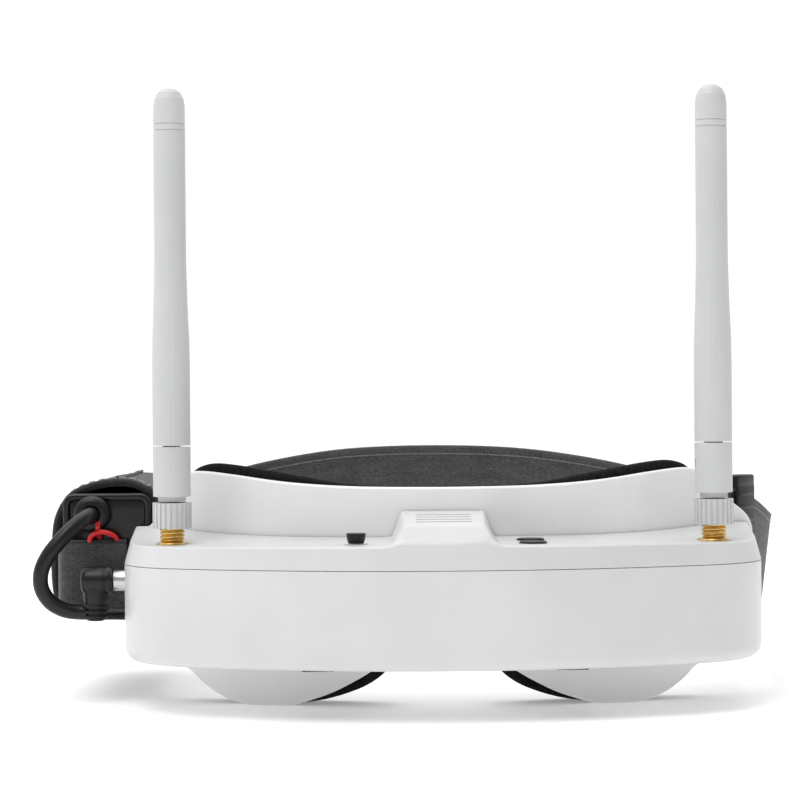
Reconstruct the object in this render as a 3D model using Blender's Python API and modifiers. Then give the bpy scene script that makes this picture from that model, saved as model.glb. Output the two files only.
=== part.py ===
"""FPV goggles: white two-part shell, face plate with foam, optics, two folding antennas,
elastic head strap, and a battery pouch with its lead.

Frame: +X is the wearer's left, +Y from the front face towards the wearer, +Z up. Each piece
is built about the mid-plane (X = 0), the foremost point of the shell (Y = 0) and the table
top (Z = 0); the empty "headset_origin" then moves everything so that the world origin is
under the middle of the whole headset.
"""
import math

import bmesh
import bpy
from mathutils import Matrix, Vector

MM = 0.001
GAP = 0.3 * MM

# Shell
SHELL_HALF_WIDTH = 82 * MM
FRONT_RADIUS = 150 * MM
CORNER_RADIUS = 26.5 * MM
SHELL_REAR = 52 * MM
SHELL_BOTTOM = 12.8 * MM
SEAM_HEIGHT = 37.5 * MM
LEDGE_HEIGHT = 43.35 * MM
WALL = 2.2 * MM
FLOOR_TOP = SHELL_BOTTOM + WALL

# Face plate and foam
PLATE_CENTRE = 36 * MM
PLATE_THICKNESS = 3 * MM
PLATE_REAR = 52.6 * MM
PLATE_STEP = 6.4 * MM
FOAM_DEPTH = 12.5 * MM
LUG_INNER = 70.4 * MM
LUG_OUTER = 72.8 * MM

# Optics
EYE_X = 31.5 * MM
EYE_Z = 27 * MM
IPD_TRAVEL = 4.5 * MM
FOCUS_TRAVEL = 2.5 * MM
IPD_KNOB_Y = 14.5 * MM
FOCUS_LEVER_Y = 24.2 * MM

# Antennas
ANTENNA_X = 68.8 * MM
ANTENNA_Y = 29 * MM
ANTENNA_TIP = 158.7 * MM
HINGE_GROOVE = ANTENNA_TIP - 90.9 * MM
HINGE_PIN = HINGE_GROOVE - 5.2 * MM
SWIVEL_GROOVE = ANTENNA_TIP - 103.6 * MM
COLLAR_TOP = 53.5 * MM
COLLAR_BOTTOM = 47.0 * MM
ANTENNA_RADIUS = 4.8 * MM

# Controls on the ledge
JOYSTICK = (-21.9 * MM, 15.5 * MM)
BUTTON_X = 22.1 * MM
BUTTON_YS = (15 * MM, 28.3 * MM)
BUTTON_RADIUS = 3.5 * MM
FAN_Y = 20 * MM
VENT_COUNT = 4

# Sockets and screws
AUDIO_Y = 45 * MM
AUDIO_JACKS = (("av_jack", 31 * MM), ("earphone_jack", 22 * MM))
SCREW_PLACES = ((-64 * MM, 24 * MM), (64 * MM, 24 * MM), (-70 * MM, 43 * MM), (66 * MM, 40 * MM))

# Strap, pouch and battery
STRAP_THICKNESS = 1.2 * MM
STRAP_WIDTH = 37 * MM
STRAP_OUTER = 93.3 * MM
STRAP_REAR = 151.2 * MM
POUCH_OUTER = 104.2 * MM
CASE_LOW = Vector((-100.3, 58.2, 23.4)) * MM
CASE_HIGH = Vector((-76.9, 130, 54.9)) * MM
GLAND = Vector((-92.4, 53.6, 49.5)) * MM
DC_JACK = Vector((-82, 45, 32.7)) * MM
CABLE_RADIUS = 2 * MM

# Routes, in millimetres
CABLE_ROUTE = ((-92.4, 53.2, 49.5), (-92.6, 50, 49.4), (-93.8, 46.6, 48.5),
               (-96.3, 43.8, 46.3), (-99.2, 42, 43.2), (-102, 41.1, 39.6),
               (-103.9, 40.9, 35.4), (-103.9, 41.3, 31.1), (-101.8, 42.4, 27.4),
               (-98.4, 43.8, 25.2), (-94.7, 44.8, 24.9))
TAIL_ROUTE = ((-90, 45, 32), (-90, 45, 28.6), (-90.8, 45, 26.2), (-92.4, 45, 25.1),
              (-94.3, 44.9, 24.9))
RED_ROUTE = ((-90.7, 53.2, 47), (-90.6, 52.3, 46.2), (-89.6, 52.2, 45.4), (-88, 52.9, 45.2),
             (-86.5, 54.4, 44.9), (-85.6, 55.2, 43.6), (-85.5, 55.25, 39.5))

SHIFT = Vector(((POUCH_OUTER - STRAP_OUTER) / 2, -STRAP_REAR / 2, 0))

for old in list(bpy.data.objects):
    bpy.data.objects.remove(old, do_unlink=True)

parts = bpy.data.collections.new("fpv_goggles")
cutters = bpy.data.collections.new("cutters")
bpy.context.scene.collection.children.link(parts)
bpy.context.scene.collection.children.link(cutters)

origin = bpy.data.objects.new("headset_origin", None)
origin.location = SHIFT
parts.objects.link(origin)


def material(name, colour, roughness, metallic=0.0):
    mat = bpy.data.materials.new(name)
    mat.use_nodes = True
    shader = mat.node_tree.nodes["Principled BSDF"]
    shader.inputs["Base Color"].default_value = (*colour, 1.0)
    shader.inputs["Roughness"].default_value = roughness
    shader.inputs["Metallic"].default_value = metallic
    return mat


COLOURS = {
    "white": ((0.78, 0.78, 0.79), 0.35, 0.0),
    "plate": ((0.8, 0.8, 0.8), 0.35, 0.0),
    "antenna": ((0.76, 0.76, 0.77), 0.45, 0.0),
    "black": ((0.02, 0.02, 0.02), 0.4, 0.0),
    "bezel": ((0.03, 0.03, 0.03), 0.6, 0.0),
    "foam": ((0.015, 0.015, 0.015), 0.95, 0.0),
    "strap": ((0.1, 0.1, 0.11), 0.9, 0.0),
    "pouch": ((0.02, 0.02, 0.022), 0.9, 0.0),
    "brass": ((0.8, 0.6, 0.25), 0.25, 1.0),
    "steel": ((0.7, 0.7, 0.72), 0.3, 1.0),
    "board": ((0.02, 0.18, 0.08), 0.5, 0.0),
    "glass": ((0.8, 0.85, 0.9), 0.05, 0.0),
    "display": ((0.02, 0.02, 0.05), 0.1, 0.0),
    "cell": ((0.35, 0.36, 0.38), 0.4, 0.6),
    "red": ((0.7, 0.02, 0.02), 0.4, 0.0),
    "cable": ((0.015, 0.015, 0.015), 0.5, 0.0),
}


def new_object(name, mesh, colour=None, pivot=(0, 0, 0)):
    """Add a part (with a colour) or a cutter (without), its origin moved to the pivot."""
    pivot = Vector(pivot)
    mesh.transform(Matrix.Translation(-pivot))
    obj = bpy.data.objects.new(name, mesh)
    obj.location = pivot
    obj.parent = origin
    if colour is None:
        cutters.objects.link(obj)
        obj.hide_render = True
        obj.display_type = "WIRE"
        return obj
    parts.objects.link(obj)
    mesh.materials.append(material(name, *COLOURS[colour]))
    mesh.set_sharp_from_angle(angle=math.radians(35))
    return obj


def mesh_from(bm, name):
    mesh = bpy.data.meshes.new(name)
    bmesh.ops.recalc_face_normals(bm, faces=bm.faces)
    bm.to_mesh(mesh)
    bm.free()
    mesh.shade_smooth()
    return mesh


def box(name, low, high, colour=None, bevel=0.0, pivot=(0, 0, 0)):
    """An upright block between two corners, its edges rounded by one bevel."""
    low = Vector(low)
    high = Vector(high)
    bm = bmesh.new()
    size = high - low
    place = Matrix.Translation((low + high) / 2) @ Matrix.Diagonal((*size, 1))
    bmesh.ops.create_cube(bm, size=1, matrix=place)
    if bevel:
        bmesh.ops.bevel(bm, geom=bm.edges[:], offset=bevel, segments=2, profile=0.5,
                        affect="EDGES", clamp_overlap=True)
    return new_object(name, mesh_from(bm, name), colour, pivot)


def rod(name, radius, start, end, colour=None, segments=24, end_radius=None, pivot=(0, 0, 0)):
    """A round bar, or a cone frustum, from start to end."""
    start = Vector(start)
    end = Vector(end)
    axis = end - start
    turn = axis.to_track_quat("Z", "Y").to_matrix().to_4x4()
    place = Matrix.Translation((start + end) / 2) @ turn
    bm = bmesh.new()
    far_radius = radius if end_radius is None else end_radius
    bmesh.ops.create_cone(bm, cap_ends=True, segments=segments, radius1=radius,
                          radius2=far_radius, depth=axis.length, matrix=place)
    return new_object(name, mesh_from(bm, name), colour, pivot)


def prism(name, outlines, low, high, facing, colour=None, pivot=(0, 0, 0)):
    """A flat outline (with holes) given thickness. facing is the axis it is extruded along:
    "Z" reads outline points as (x, y), "Y" as (x, z) and "X" as (y, z)."""
    curve = bpy.data.curves.new(name, "CURVE")
    curve.dimensions = "2D"
    curve.fill_mode = "BOTH"
    curve.extrude = (high - low) / 2
    for outline in outlines:
        spline = curve.splines.new("POLY")
        spline.points.add(len(outline) - 1)
        for point, (u, v) in zip(spline.points, outline):
            point.co = (u, v, 0, 1)
        spline.use_cyclic_u = True
    flat = bpy.data.objects.new(name + "_outline", curve)
    bpy.context.scene.collection.objects.link(flat)
    depsgraph = bpy.context.evaluated_depsgraph_get()
    mesh = bpy.data.meshes.new_from_object(flat.evaluated_get(depsgraph))
    bpy.data.objects.remove(flat, do_unlink=True)
    middle = (low + high) / 2
    quarter = math.radians(90)
    turns = {
        "Z": Matrix.Translation((0, 0, middle)),
        "Y": Matrix.Translation((0, middle, 0)) @ Matrix.Rotation(quarter, 4, "X"),
        "X": (Matrix.Translation((middle, 0, 0)) @ Matrix.Rotation(quarter, 4, "Z")
              @ Matrix.Rotation(quarter, 4, "X")),
    }
    mesh.transform(turns[facing])
    bm = bmesh.new()
    bm.from_mesh(mesh)
    bmesh.ops.remove_doubles(bm, verts=bm.verts, dist=1e-6)
    return new_object(name, mesh_from(bm, name), colour, pivot)


def turned(name, profile, centre, colour, steps=24, pivot=None):
    """A solid of revolution about a vertical axis. profile is (radius, height) from top to
    bottom, and starts and ends on the axis."""
    bm = bmesh.new()
    verts = [bm.verts.new((radius, 0, height)) for radius, height in profile]
    for first, second in zip(verts, verts[1:]):
        bm.edges.new((first, second))
    mesh = bpy.data.meshes.new(name)
    bm.to_mesh(mesh)
    bm.free()
    obj = new_object(name, mesh, colour, (0, 0, 0 if pivot is None else pivot))
    obj.location = (centre[0], centre[1], 0 if pivot is None else pivot)
    screw = obj.modifiers.new("turn", "SCREW")
    screw.steps = steps
    screw.render_steps = steps
    screw.use_merge_vertices = True
    screw.merge_threshold = 0.00001
    screw.use_smooth_shade = True
    return obj


def tube(name, points, radius, colour, pivot=(0, 0, 0)):
    """A round cable through the points."""
    curve = bpy.data.curves.new(name, "CURVE")
    curve.dimensions = "3D"
    curve.bevel_depth = radius
    curve.bevel_resolution = 2
    curve.use_fill_caps = True
    spline = curve.splines.new("POLY")
    spline.points.add(len(points) - 1)
    for point, place in zip(spline.points, points):
        point.co = (*place, 1)
    route = bpy.data.objects.new(name + "_route", curve)
    bpy.context.scene.collection.objects.link(route)
    depsgraph = bpy.context.evaluated_depsgraph_get()
    mesh = bpy.data.meshes.new_from_object(route.evaluated_get(depsgraph))
    bpy.data.objects.remove(route, do_unlink=True)
    bm = bmesh.new()
    bm.from_mesh(mesh)
    bmesh.ops.remove_doubles(bm, verts=bm.verts, dist=1e-6)
    return new_object(name, mesh_from(bm, name), colour, pivot)


def boolean(obj, tool, operation="DIFFERENCE"):
    modifier = obj.modifiers.new(operation.lower(), "BOOLEAN")
    modifier.operation = operation
    modifier.object = tool
    modifier.solver = "EXACT"
    return obj


def arc(centre, radius, start, end, steps):
    """Points on an arc, angles in degrees."""
    points = []
    for step in range(steps + 1):
        angle = math.radians(start + (end - start) * step / steps)
        points.append((centre[0] + radius * math.cos(angle),
                       centre[1] + radius * math.sin(angle)))
    return points


def rounded_rectangle(low, high, radius, steps=3):
    corners = (
        ((high[0] - radius, high[1] - radius), 0),
        ((low[0] + radius, high[1] - radius), 90),
        ((low[0] + radius, low[1] + radius), 180),
        ((high[0] - radius, low[1] + radius), 270),
    )
    points = []
    for centre, start in corners:
        points += arc(centre, radius, start, start + 90, steps)
    return points


def smooth_route(points, per_span):
    """A Catmull-Rom curve through the points, of any dimension."""
    padded = [points[0]] + list(points) + [points[-1]]
    route = []
    for index in range(1, len(padded) - 2):
        before, start, end, after = (Vector(p) for p in padded[index - 1:index + 3])
        for step in range(per_span):
            t = step / per_span
            route.append(0.5 * (2 * start + (end - before) * t
                                + (2 * before - 5 * start + 4 * end - after) * t ** 2
                                + (3 * start - before - 3 * end + after) * t ** 3))
    route.append(Vector(points[-1]))
    return route


def mirrored(half):
    """Close a half outline (x >= 0, from the top middle round to the bottom middle)."""
    other = [(-u, v) for u, v in reversed(half) if u > 0]
    return half + other


# Plan shape of the shell: a shallow front arc, a round corner and a straight side.
CORNER_ANGLE = math.asin((SHELL_HALF_WIDTH - CORNER_RADIUS) / (FRONT_RADIUS - CORNER_RADIUS))
CORNER_X = SHELL_HALF_WIDTH - CORNER_RADIUS
CORNER_Y = FRONT_RADIUS - (FRONT_RADIUS - CORNER_RADIUS) * math.cos(CORNER_ANGLE)


def shell_outline(inset, rear):
    """The shell's outline, moved inwards by inset, and ending at rear."""
    turn = math.degrees(CORNER_ANGLE)
    half = arc((0, FRONT_RADIUS), FRONT_RADIUS - inset, -90, -90 + turn, 7)
    half += arc((CORNER_X, CORNER_Y), CORNER_RADIUS - inset, -90 + turn, 0, 7)[1:]
    half.append((SHELL_HALF_WIDTH - inset, rear))
    left = [(-x, y) for x, y in reversed(half[1:])]
    return left + half


def ledge(x, y):
    """Height of the ledge: crowned in the middle, and rising behind the antennas."""
    crown = 0.5 * MM * (x / (70 * MM)) ** 2
    rise = 4.7 * max(0.0, y - 24 * MM) ** 2
    return LEDGE_HEIGHT - crown + rise


def plate_front(x, z):
    """Y of the face plate's front surface, which follows the wearer's brow and cheeks."""
    side = min(abs(x) / (66.5 * MM), 1.2)
    line = min(PLATE_CENTRE + 12.5 * MM * side ** 3, PLATE_REAR)
    return line + 0.2 * max(0.0, SHELL_BOTTOM - z)


def shell_block(name, inset, bottom, drop, rear, colour=None, edge=0.0):
    """The shell's plan, extruded up to the ledge surface less drop."""
    outline = shell_outline(inset, rear)
    bm = bmesh.new()
    base = bm.faces.new([bm.verts.new((x, y, bottom)) for x, y in outline])
    top = bmesh.ops.extrude_face_region(bm, geom=[base])
    for item in top["geom"]:
        if isinstance(item, bmesh.types.BMVert):
            item.co.z = LEDGE_HEIGHT
    if edge:
        rim = [item for item in bm.edges
               if min(vert.co.z for vert in item.verts) > LEDGE_HEIGHT - 0.01 * MM
               and min(vert.co.y for vert in item.verts) < rear - 0.01 * MM]
        bmesh.ops.bevel(bm, geom=rim, offset=edge, segments=2, profile=0.5, affect="EDGES")
    cuts = [((0, 12 * MM + step * 5 * MM, 0), (0, 1, 0)) for step in range(1, 8)]
    cuts += [((x, 0, 0), (1, 0, 0)) for x in (-40 * MM, 0, 40 * MM)]
    bmesh.ops.recalc_face_normals(bm, faces=bm.faces)
    for place, facing in cuts:
        bm.normal_update()
        roof = [face for face in bm.faces if face.normal.z > 0.5]
        lines = {item for face in roof for item in face.edges}
        corners = {item for face in roof for item in face.verts}
        bmesh.ops.bisect_plane(bm, geom=roof + list(lines) + list(corners),
                               plane_co=place, plane_no=facing)
    bm.normal_update()
    bmesh.ops.triangulate(bm, faces=[face for face in bm.faces if face.normal.z > 0.5])
    for vert in bm.verts:
        if vert.co.z > LEDGE_HEIGHT - edge - 0.01 * MM:
            vert.co.z += ledge(vert.co.x, vert.co.y) - drop - LEDGE_HEIGHT
    return new_object(name, mesh_from(bm, name), colour)


def plate_steps(count):
    """Positions across the headset at which every panel on the face plate is bent."""
    return [step * PLATE_STEP for step in range(-count, count + 1)]


def behind_plate():
    """Everything behind the face plate's front surface, as a plan outline."""
    line = [(x, plate_front(x, SHELL_BOTTOM) - GAP) for x in plate_steps(13)]
    line += [(line[-1][0], 90 * MM), (line[0][0], 90 * MM)]
    return prism("behind_plate", [line], 0, 70 * MM, "Z")


def slab(name, xs, zs, front, back, colour=None):
    """A curved panel over a grid in X and Z, between two surfaces front(x, z) and back(x, z)."""
    bm = bmesh.new()
    rows = [[bm.verts.new((x, front(x, z), z)) for x in xs] for z in zs]
    for lower, upper in zip(rows, rows[1:]):
        for index in range(len(xs) - 1):
            bm.faces.new((lower[index], lower[index + 1], upper[index + 1], upper[index]))
    top = bmesh.ops.extrude_face_region(bm, geom=bm.faces[:])
    for item in top["geom"]:
        if isinstance(item, bmesh.types.BMVert):
            item.co.y = back(item.co.x, item.co.z)
    return new_object(name, mesh_from(bm, name), colour)


def front_shell(rear_zone):
    outline = shell_outline(0, SHELL_REAR)
    bm = bmesh.new()
    base = bm.faces.new([bm.verts.new((x, y, SHELL_BOTTOM)) for x, y in outline])
    top = bmesh.ops.extrude_face_region(bm, geom=[base])
    for item in top["geom"]:
        if isinstance(item, bmesh.types.BMVert):
            item.co.z = SEAM_HEIGHT - 0.2 * MM
    rim = [edge for edge in bm.edges
           if max(vert.co.z for vert in edge.verts) < SHELL_BOTTOM + 0.1 * MM
           and min(vert.co.y for vert in edge.verts) < SHELL_REAR - 0.1 * MM]
    bmesh.ops.bevel(bm, geom=rim, offset=3.6 * MM, segments=3, profile=0.5, affect="EDGES")
    shell = new_object("front_shell", mesh_from(bm, "front_shell"), "white")
    hollow = prism("shell_hollow", [shell_outline(WALL, SHELL_REAR + 5 * MM)],
                   FLOOR_TOP, SEAM_HEIGHT + 5 * MM, "Z")
    boolean(shell, hollow)
    boolean(shell, rear_zone)
    for side, label in ((-1, "left"), (1, "right")):
        middle = side * EYE_X
        slot = prism(f"ipd_slot_{label}", [rounded_rectangle(
            (middle - 7 * MM, IPD_KNOB_Y - 2.2 * MM),
            (middle + 7 * MM, IPD_KNOB_Y + 2.2 * MM), 2 * MM)], 5 * MM, 20 * MM, "Z")
        window = prism(f"focus_window_{label}", [rounded_rectangle(
            (middle - 6.7 * MM, FOCUS_LEVER_Y - 4.4 * MM),
            (middle + 6.7 * MM, FOCUS_LEVER_Y + 4.4 * MM), 1.5 * MM)], 5 * MM, 20 * MM, "Z")
        boolean(shell, slot)
        boolean(shell, window)
    for index, (x, y) in enumerate(SCREW_PLACES, 1):
        boolean(shell, rod(f"screw_head_hole_{index}", 2.3 * MM, (x, y, 10 * MM),
                           (x, y, SHELL_BOTTOM + 1.3 * MM), segments=16))
        boolean(shell, rod(f"screw_shank_hole_{index}", 1.3 * MM, (x, y, 10 * MM),
                           (x, y, 20 * MM), segments=16))
    boolean(shell, rod("dc_jack_hole", 4.1 * MM, DC_JACK - Vector((5 * MM, 0, 0)),
                       DC_JACK + Vector((6 * MM, 0, 0))))
    for name, z in AUDIO_JACKS:
        boolean(shell, rod(name + "_hole", 3.3 * MM, (76 * MM, AUDIO_Y, z),
                           (88 * MM, AUDIO_Y, z), segments=20))
    return shell


def top_cover(rear_zone):
    cover = shell_block("top_cover", 0, SEAM_HEIGHT + 0.2 * MM, 0, SHELL_REAR, "white",
                        edge=0.9 * MM)
    boolean(cover, hump("hump_body", 0, 40 * MM, 45 * MM), "UNION")
    hollow = shell_block("cover_hollow", WALL, SEAM_HEIGHT - 2 * MM, WALL, SHELL_REAR + 5 * MM)
    boolean(cover, hollow)
    boolean(cover, hump("hump_hollow", 1.8 * MM, 39 * MM, 45.7 * MM))
    for index in range(VENT_COUNT):
        y = 11 * MM + index * 5 * MM
        boolean(cover, box(f"vent_cut_{index + 1}", (-7 * MM, y, 44 * MM),
                           (7 * MM, y + 1.1 * MM, 60 * MM)))
    boolean(cover, rod("joystick_hole", 3.1 * MM, (*JOYSTICK, 38 * MM), (*JOYSTICK, 48 * MM)))
    for index, y in enumerate(BUTTON_YS, 1):
        boolean(cover, rod(f"button_hole_{index}", BUTTON_RADIUS + GAP,
                           (BUTTON_X, y, 38 * MM), (BUTTON_X, y, 48 * MM), segments=28))
    for side, label in ((-1, "left"), (1, "right")):
        x = side * ANTENNA_X
        boolean(cover, rod(f"sma_hole_{label}", 3.6 * MM, (x, ANTENNA_Y, 38 * MM),
                           (x, ANTENNA_Y, 48 * MM)))
        boolean(cover, rod(f"sma_seat_{label}", 5.8 * MM, (x, ANTENNA_Y, 42.7 * MM),
                           (x, ANTENNA_Y, 48 * MM)))
    boolean(cover, rear_zone)
    return cover


def hump(name, inset, bottom, rear):
    """The vent hump: a block with leaning sides and front, its roof rising to the wall. The
    hollow under it is the same block, moved inwards by inset, with sharp edges."""
    bm = bmesh.new()
    sections = (
        (0.9 * MM + 1.5 * inset, 42.8 * MM, 13.2 * MM),
        (5 * MM + inset, 48.5 * MM - inset, 9.8 * MM),
        (rear, 51.3 * MM - inset, 11 * MM),
    )
    front_y, front_z, foot = sections[0]
    roof_front_y, roof_front_z, roof_front_half = sections[1]
    roof_rear_y, roof_rear_z, roof_rear_half = sections[2]
    foot -= inset
    roof_front_half -= inset
    roof_rear_half -= inset
    lower = [bm.verts.new(p) for p in (
        (-foot, front_y, bottom), (foot, front_y, bottom), (foot, rear, bottom),
        (-foot, rear, bottom))]
    waist = [bm.verts.new(p) for p in (
        (-foot, front_y, front_z), (foot, front_y, front_z), (foot, rear, front_z),
        (-foot, rear, front_z))]
    roof = [bm.verts.new(p) for p in (
        (-roof_front_half, roof_front_y, roof_front_z),
        (roof_front_half, roof_front_y, roof_front_z),
        (roof_rear_half, roof_rear_y, roof_rear_z),
        (-roof_rear_half, roof_rear_y, roof_rear_z))]
    bm.faces.new(reversed(lower))
    bm.faces.new(roof)
    for below, above in ((lower, waist), (waist, roof)):
        for index in range(4):
            after = (index + 1) % 4
            bm.faces.new((below[index], below[after], above[after], above[index]))
    if not inset:
        upper = [edge for edge in bm.edges
                 if max(vert.co.z for vert in edge.verts) > front_z + 0.5 * MM
                 and max(vert.co.y for vert in edge.verts) < rear - 5 * MM
                 or min(vert.co.z for vert in edge.verts) > front_z + 0.5 * MM
                 and min(vert.co.y for vert in edge.verts) < rear - 5 * MM]
        bmesh.ops.bevel(bm, geom=upper, offset=1 * MM, segments=2, profile=0.5, affect="EDGES")
    return new_object(name, mesh_from(bm, name))


def face_plate():
    xs = plate_steps(13)
    zs = [-3 * MM, 6 * MM, SHELL_BOTTOM, 40 * MM, 70 * MM]
    plate = slab("face_plate", xs, zs, plate_front,
                 lambda x, z: plate_front(x, z) + PLATE_THICKNESS, "plate")
    brow = [(0, 56.6), (22, 56.9), (40, 58.1), (54, 60), (62, 60.9), (66, 60.6)]
    shoulders = {
        1: [(69.5, 59), (72.5, 56), (76, 52.2), (80, 48.8), (81.6, 46), (82, 42)],
        -1: [(69, 59), (71.3, 55.8), (73.5, 51.4), (76, 47.4), (79, 45), (82, 42)],
    }
    lower = [
        (82, 20), (80, 14.5), (72, 10.8), (69, 10), (66, 8.6), (62.9, 5.6), (57.6, 2.2),
        (51.5, 0.2), (47.5, 0), (41, 0), (39, 0.25), (35, 1.4), (28.7, 3.7), (22.3, 7),
        (18.4, 9.4), (14, 12.2), (8, 13.9), (0, 14.6),
    ]
    right = brow + shoulders[1] + lower
    left = [(-u, v) for u, v in brow[1:] + shoulders[-1] + lower[:-1]]
    outline = [(u * MM, v * MM) for u, v in right + left[::-1]]
    windows = []
    for side in (-1, 1):
        windows.append(rounded_rectangle(
            (side * EYE_X - 19 * MM, EYE_Z - 9.6 * MM),
            (side * EYE_X + 19 * MM, EYE_Z + 9.6 * MM), 1.4 * MM))
    stencil = prism("plate_stencil", [outline] + windows, 20 * MM, 80 * MM, "Y")
    boolean(plate, stencil, "INTERSECT")
    for side, label in ((-1, "left"), (1, "right")):
        edges = sorted((side * LUG_INNER, side * LUG_OUTER))
        lug = box(f"lug_{label}", (edges[0], 51.5 * MM, 14.5 * MM),
                  (edges[1], 68.5 * MM, 56.5 * MM))
        slot = box(f"lug_slot_{label}", (edges[0] - MM, 60 * MM, 17 * MM),
                   (edges[1] + MM, 65.5 * MM, 54.5 * MM))
        boolean(plate, lug, "UNION")
        boolean(plate, slot)
    return plate


def optics_bezel():
    xs = plate_steps(9)
    zs = [10 * MM, SHELL_BOTTOM, 45 * MM]
    rest = PLATE_THICKNESS + GAP
    panel = slab("optics_bezel", xs, zs, lambda x, z: plate_front(x, z) + rest,
                 lambda x, z: plate_front(x, z) + rest + 1.2 * MM, "bezel")
    holes = []
    for side in (-1, 1):
        holes.append(rounded_rectangle(
            (side * EYE_X - 18.8 * MM, EYE_Z - 9.4 * MM),
            (side * EYE_X + 18.8 * MM, EYE_Z + 9.4 * MM), 1.1 * MM))
    outer = rounded_rectangle((-54 * MM, 15.2 * MM), (54 * MM, 40.6 * MM), 6 * MM)
    stencil = prism("bezel_stencil", [outer] + holes, 20 * MM, 80 * MM, "Y")
    return boolean(panel, stencil, "INTERSECT")


def face_foam():
    xs = plate_steps(11)
    zs = [-2 * MM, 6 * MM, SHELL_BOTTOM, 42 * MM, 66 * MM]
    rest = PLATE_THICKNESS + GAP
    foam = slab("face_foam", xs, zs, lambda x, z: plate_front(x, z) + rest,
                lambda x, z: plate_front(x, z) + rest + FOAM_DEPTH, "foam")
    outer = [
        (0, 57.4), (22, 58.2), (40, 60.3), (54, 62.3), (61, 62.6), (66, 60.6), (68.6, 56),
        (69, 48), (69, 20), (66.5, 10.5), (60, 5.2), (52, 1.2), (47, 0), (39, 0), (30, 1.4),
        (21.5, 4.2), (16, 7.6), (13, 11.5), (13, 13.6), (16, 14.2), (50, 14), (56, 17.5),
        (58, 24), (57.5, 36), (53, 42), (44, 44), (0, 43),
    ]
    outline = mirrored([(u * MM, v * MM) for u, v in outer])
    stencil = prism("foam_stencil", [outline], 20 * MM, 90 * MM, "Y")
    return boolean(foam, stencil, "INTERSECT")


def controls():
    x, y = JOYSTICK
    base = box("joystick_base", (x - 3.2 * MM, y - 3.2 * MM, 38.9 * MM),
               (x + 3.2 * MM, y + 3.2 * MM, 40.7 * MM), "black")
    boolean(base, rod("joystick_bore", 1.8 * MM, (x, y, 39.3 * MM), (x, y, 45 * MM),
                      segments=16))
    rod("joystick_plunger", 1.5 * MM, (x, y, 39.8 * MM), (x, y, 41.7 * MM), "steel",
        segments=16, pivot=(x, y, 39.8 * MM))
    rod("joystick_stem", 1.4 * MM, (x, y, 42.1 * MM), (x, y, 43.2 * MM), "black",
        segments=16, pivot=(x, y, 41.9 * MM))
    rod("joystick_cap", 2.05 * MM, (x, y, 43.5 * MM), (x, y, 46.2 * MM), "black",
        segments=20, end_radius=2.4 * MM, pivot=(x, y, 43.35 * MM))
    for label, button_y in zip(("front", "rear"), BUTTON_YS):
        rod(f"button_{label}", BUTTON_RADIUS, (BUTTON_X, button_y, 41.2 * MM),
            (BUTTON_X, button_y, 43.85 * MM), "black", segments=28,
            pivot=(BUTTON_X, button_y, 41.2 * MM))


def boards():
    box("main_board", (-30 * MM, 6.2 * MM, 15.6 * MM), (30 * MM, 7.8 * MM, 36.4 * MM), "board")
    outline = rounded_rectangle((-32 * MM, 9 * MM), (32 * MM, 33 * MM), 2 * MM)
    fan_hole = rounded_rectangle((-10.5 * MM, FAN_Y - 10.5 * MM),
                                 (10.5 * MM, FAN_Y + 10.5 * MM), 1 * MM)
    board = prism("control_board", [outline, fan_hole], 37.7 * MM, 38.6 * MM, "Z", "board")
    for index, y in enumerate(BUTTON_YS, 1):
        boolean(board, box(f"tact_switch_{index}",
                           (BUTTON_X - 3 * MM, y - 3 * MM, 38.2 * MM),
                           (BUTTON_X + 3 * MM, y + 3 * MM, 40.3 * MM)), "UNION")
    for side, label in ((-1, "left"), (1, "right")):
        edges = sorted((side * 57 * MM, side * 74 * MM))
        box(f"receiver_board_{label}", (edges[0], 25.5 * MM, 38.3 * MM),
            (edges[1], 43 * MM, 39.3 * MM), "board")


def fan():
    low = 32.4 * MM
    high = 37.4 * MM
    frame = box("fan_frame", (-10 * MM, FAN_Y - 10 * MM, low), (10 * MM, FAN_Y + 10 * MM, high),
                "black")
    boolean(frame, rod("fan_bore", 9.3 * MM, (0, FAN_Y, low + 1 * MM),
                       (0, FAN_Y, high + 5 * MM), segments=32))
    vents = []
    for quarter in range(4):
        start = quarter * 90 + 8
        outer = arc((0, FAN_Y), 8.9 * MM, start, start + 74, 6)
        inner = arc((0, FAN_Y), 3.6 * MM, start + 70, start + 4, 4)
        vents.append(outer + inner)
    for index, vent in enumerate(vents, 1):
        boolean(frame, prism(f"fan_vent_{index}", [vent], low - 2 * MM, low + 2 * MM, "Z"))
    blades = []
    for blade in range(7):
        start = blade * 360 / 7
        blades += arc((0, FAN_Y), 3.6 * MM, start, start + 30, 2)
        blades += arc((0, FAN_Y), 8.6 * MM, start + 34, start + 52, 2)
    prism("fan_impeller", [blades], low + 1.5 * MM, high - 0.3 * MM, "Z", "black",
          pivot=(0, FAN_Y, low + 1.5 * MM))


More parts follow.
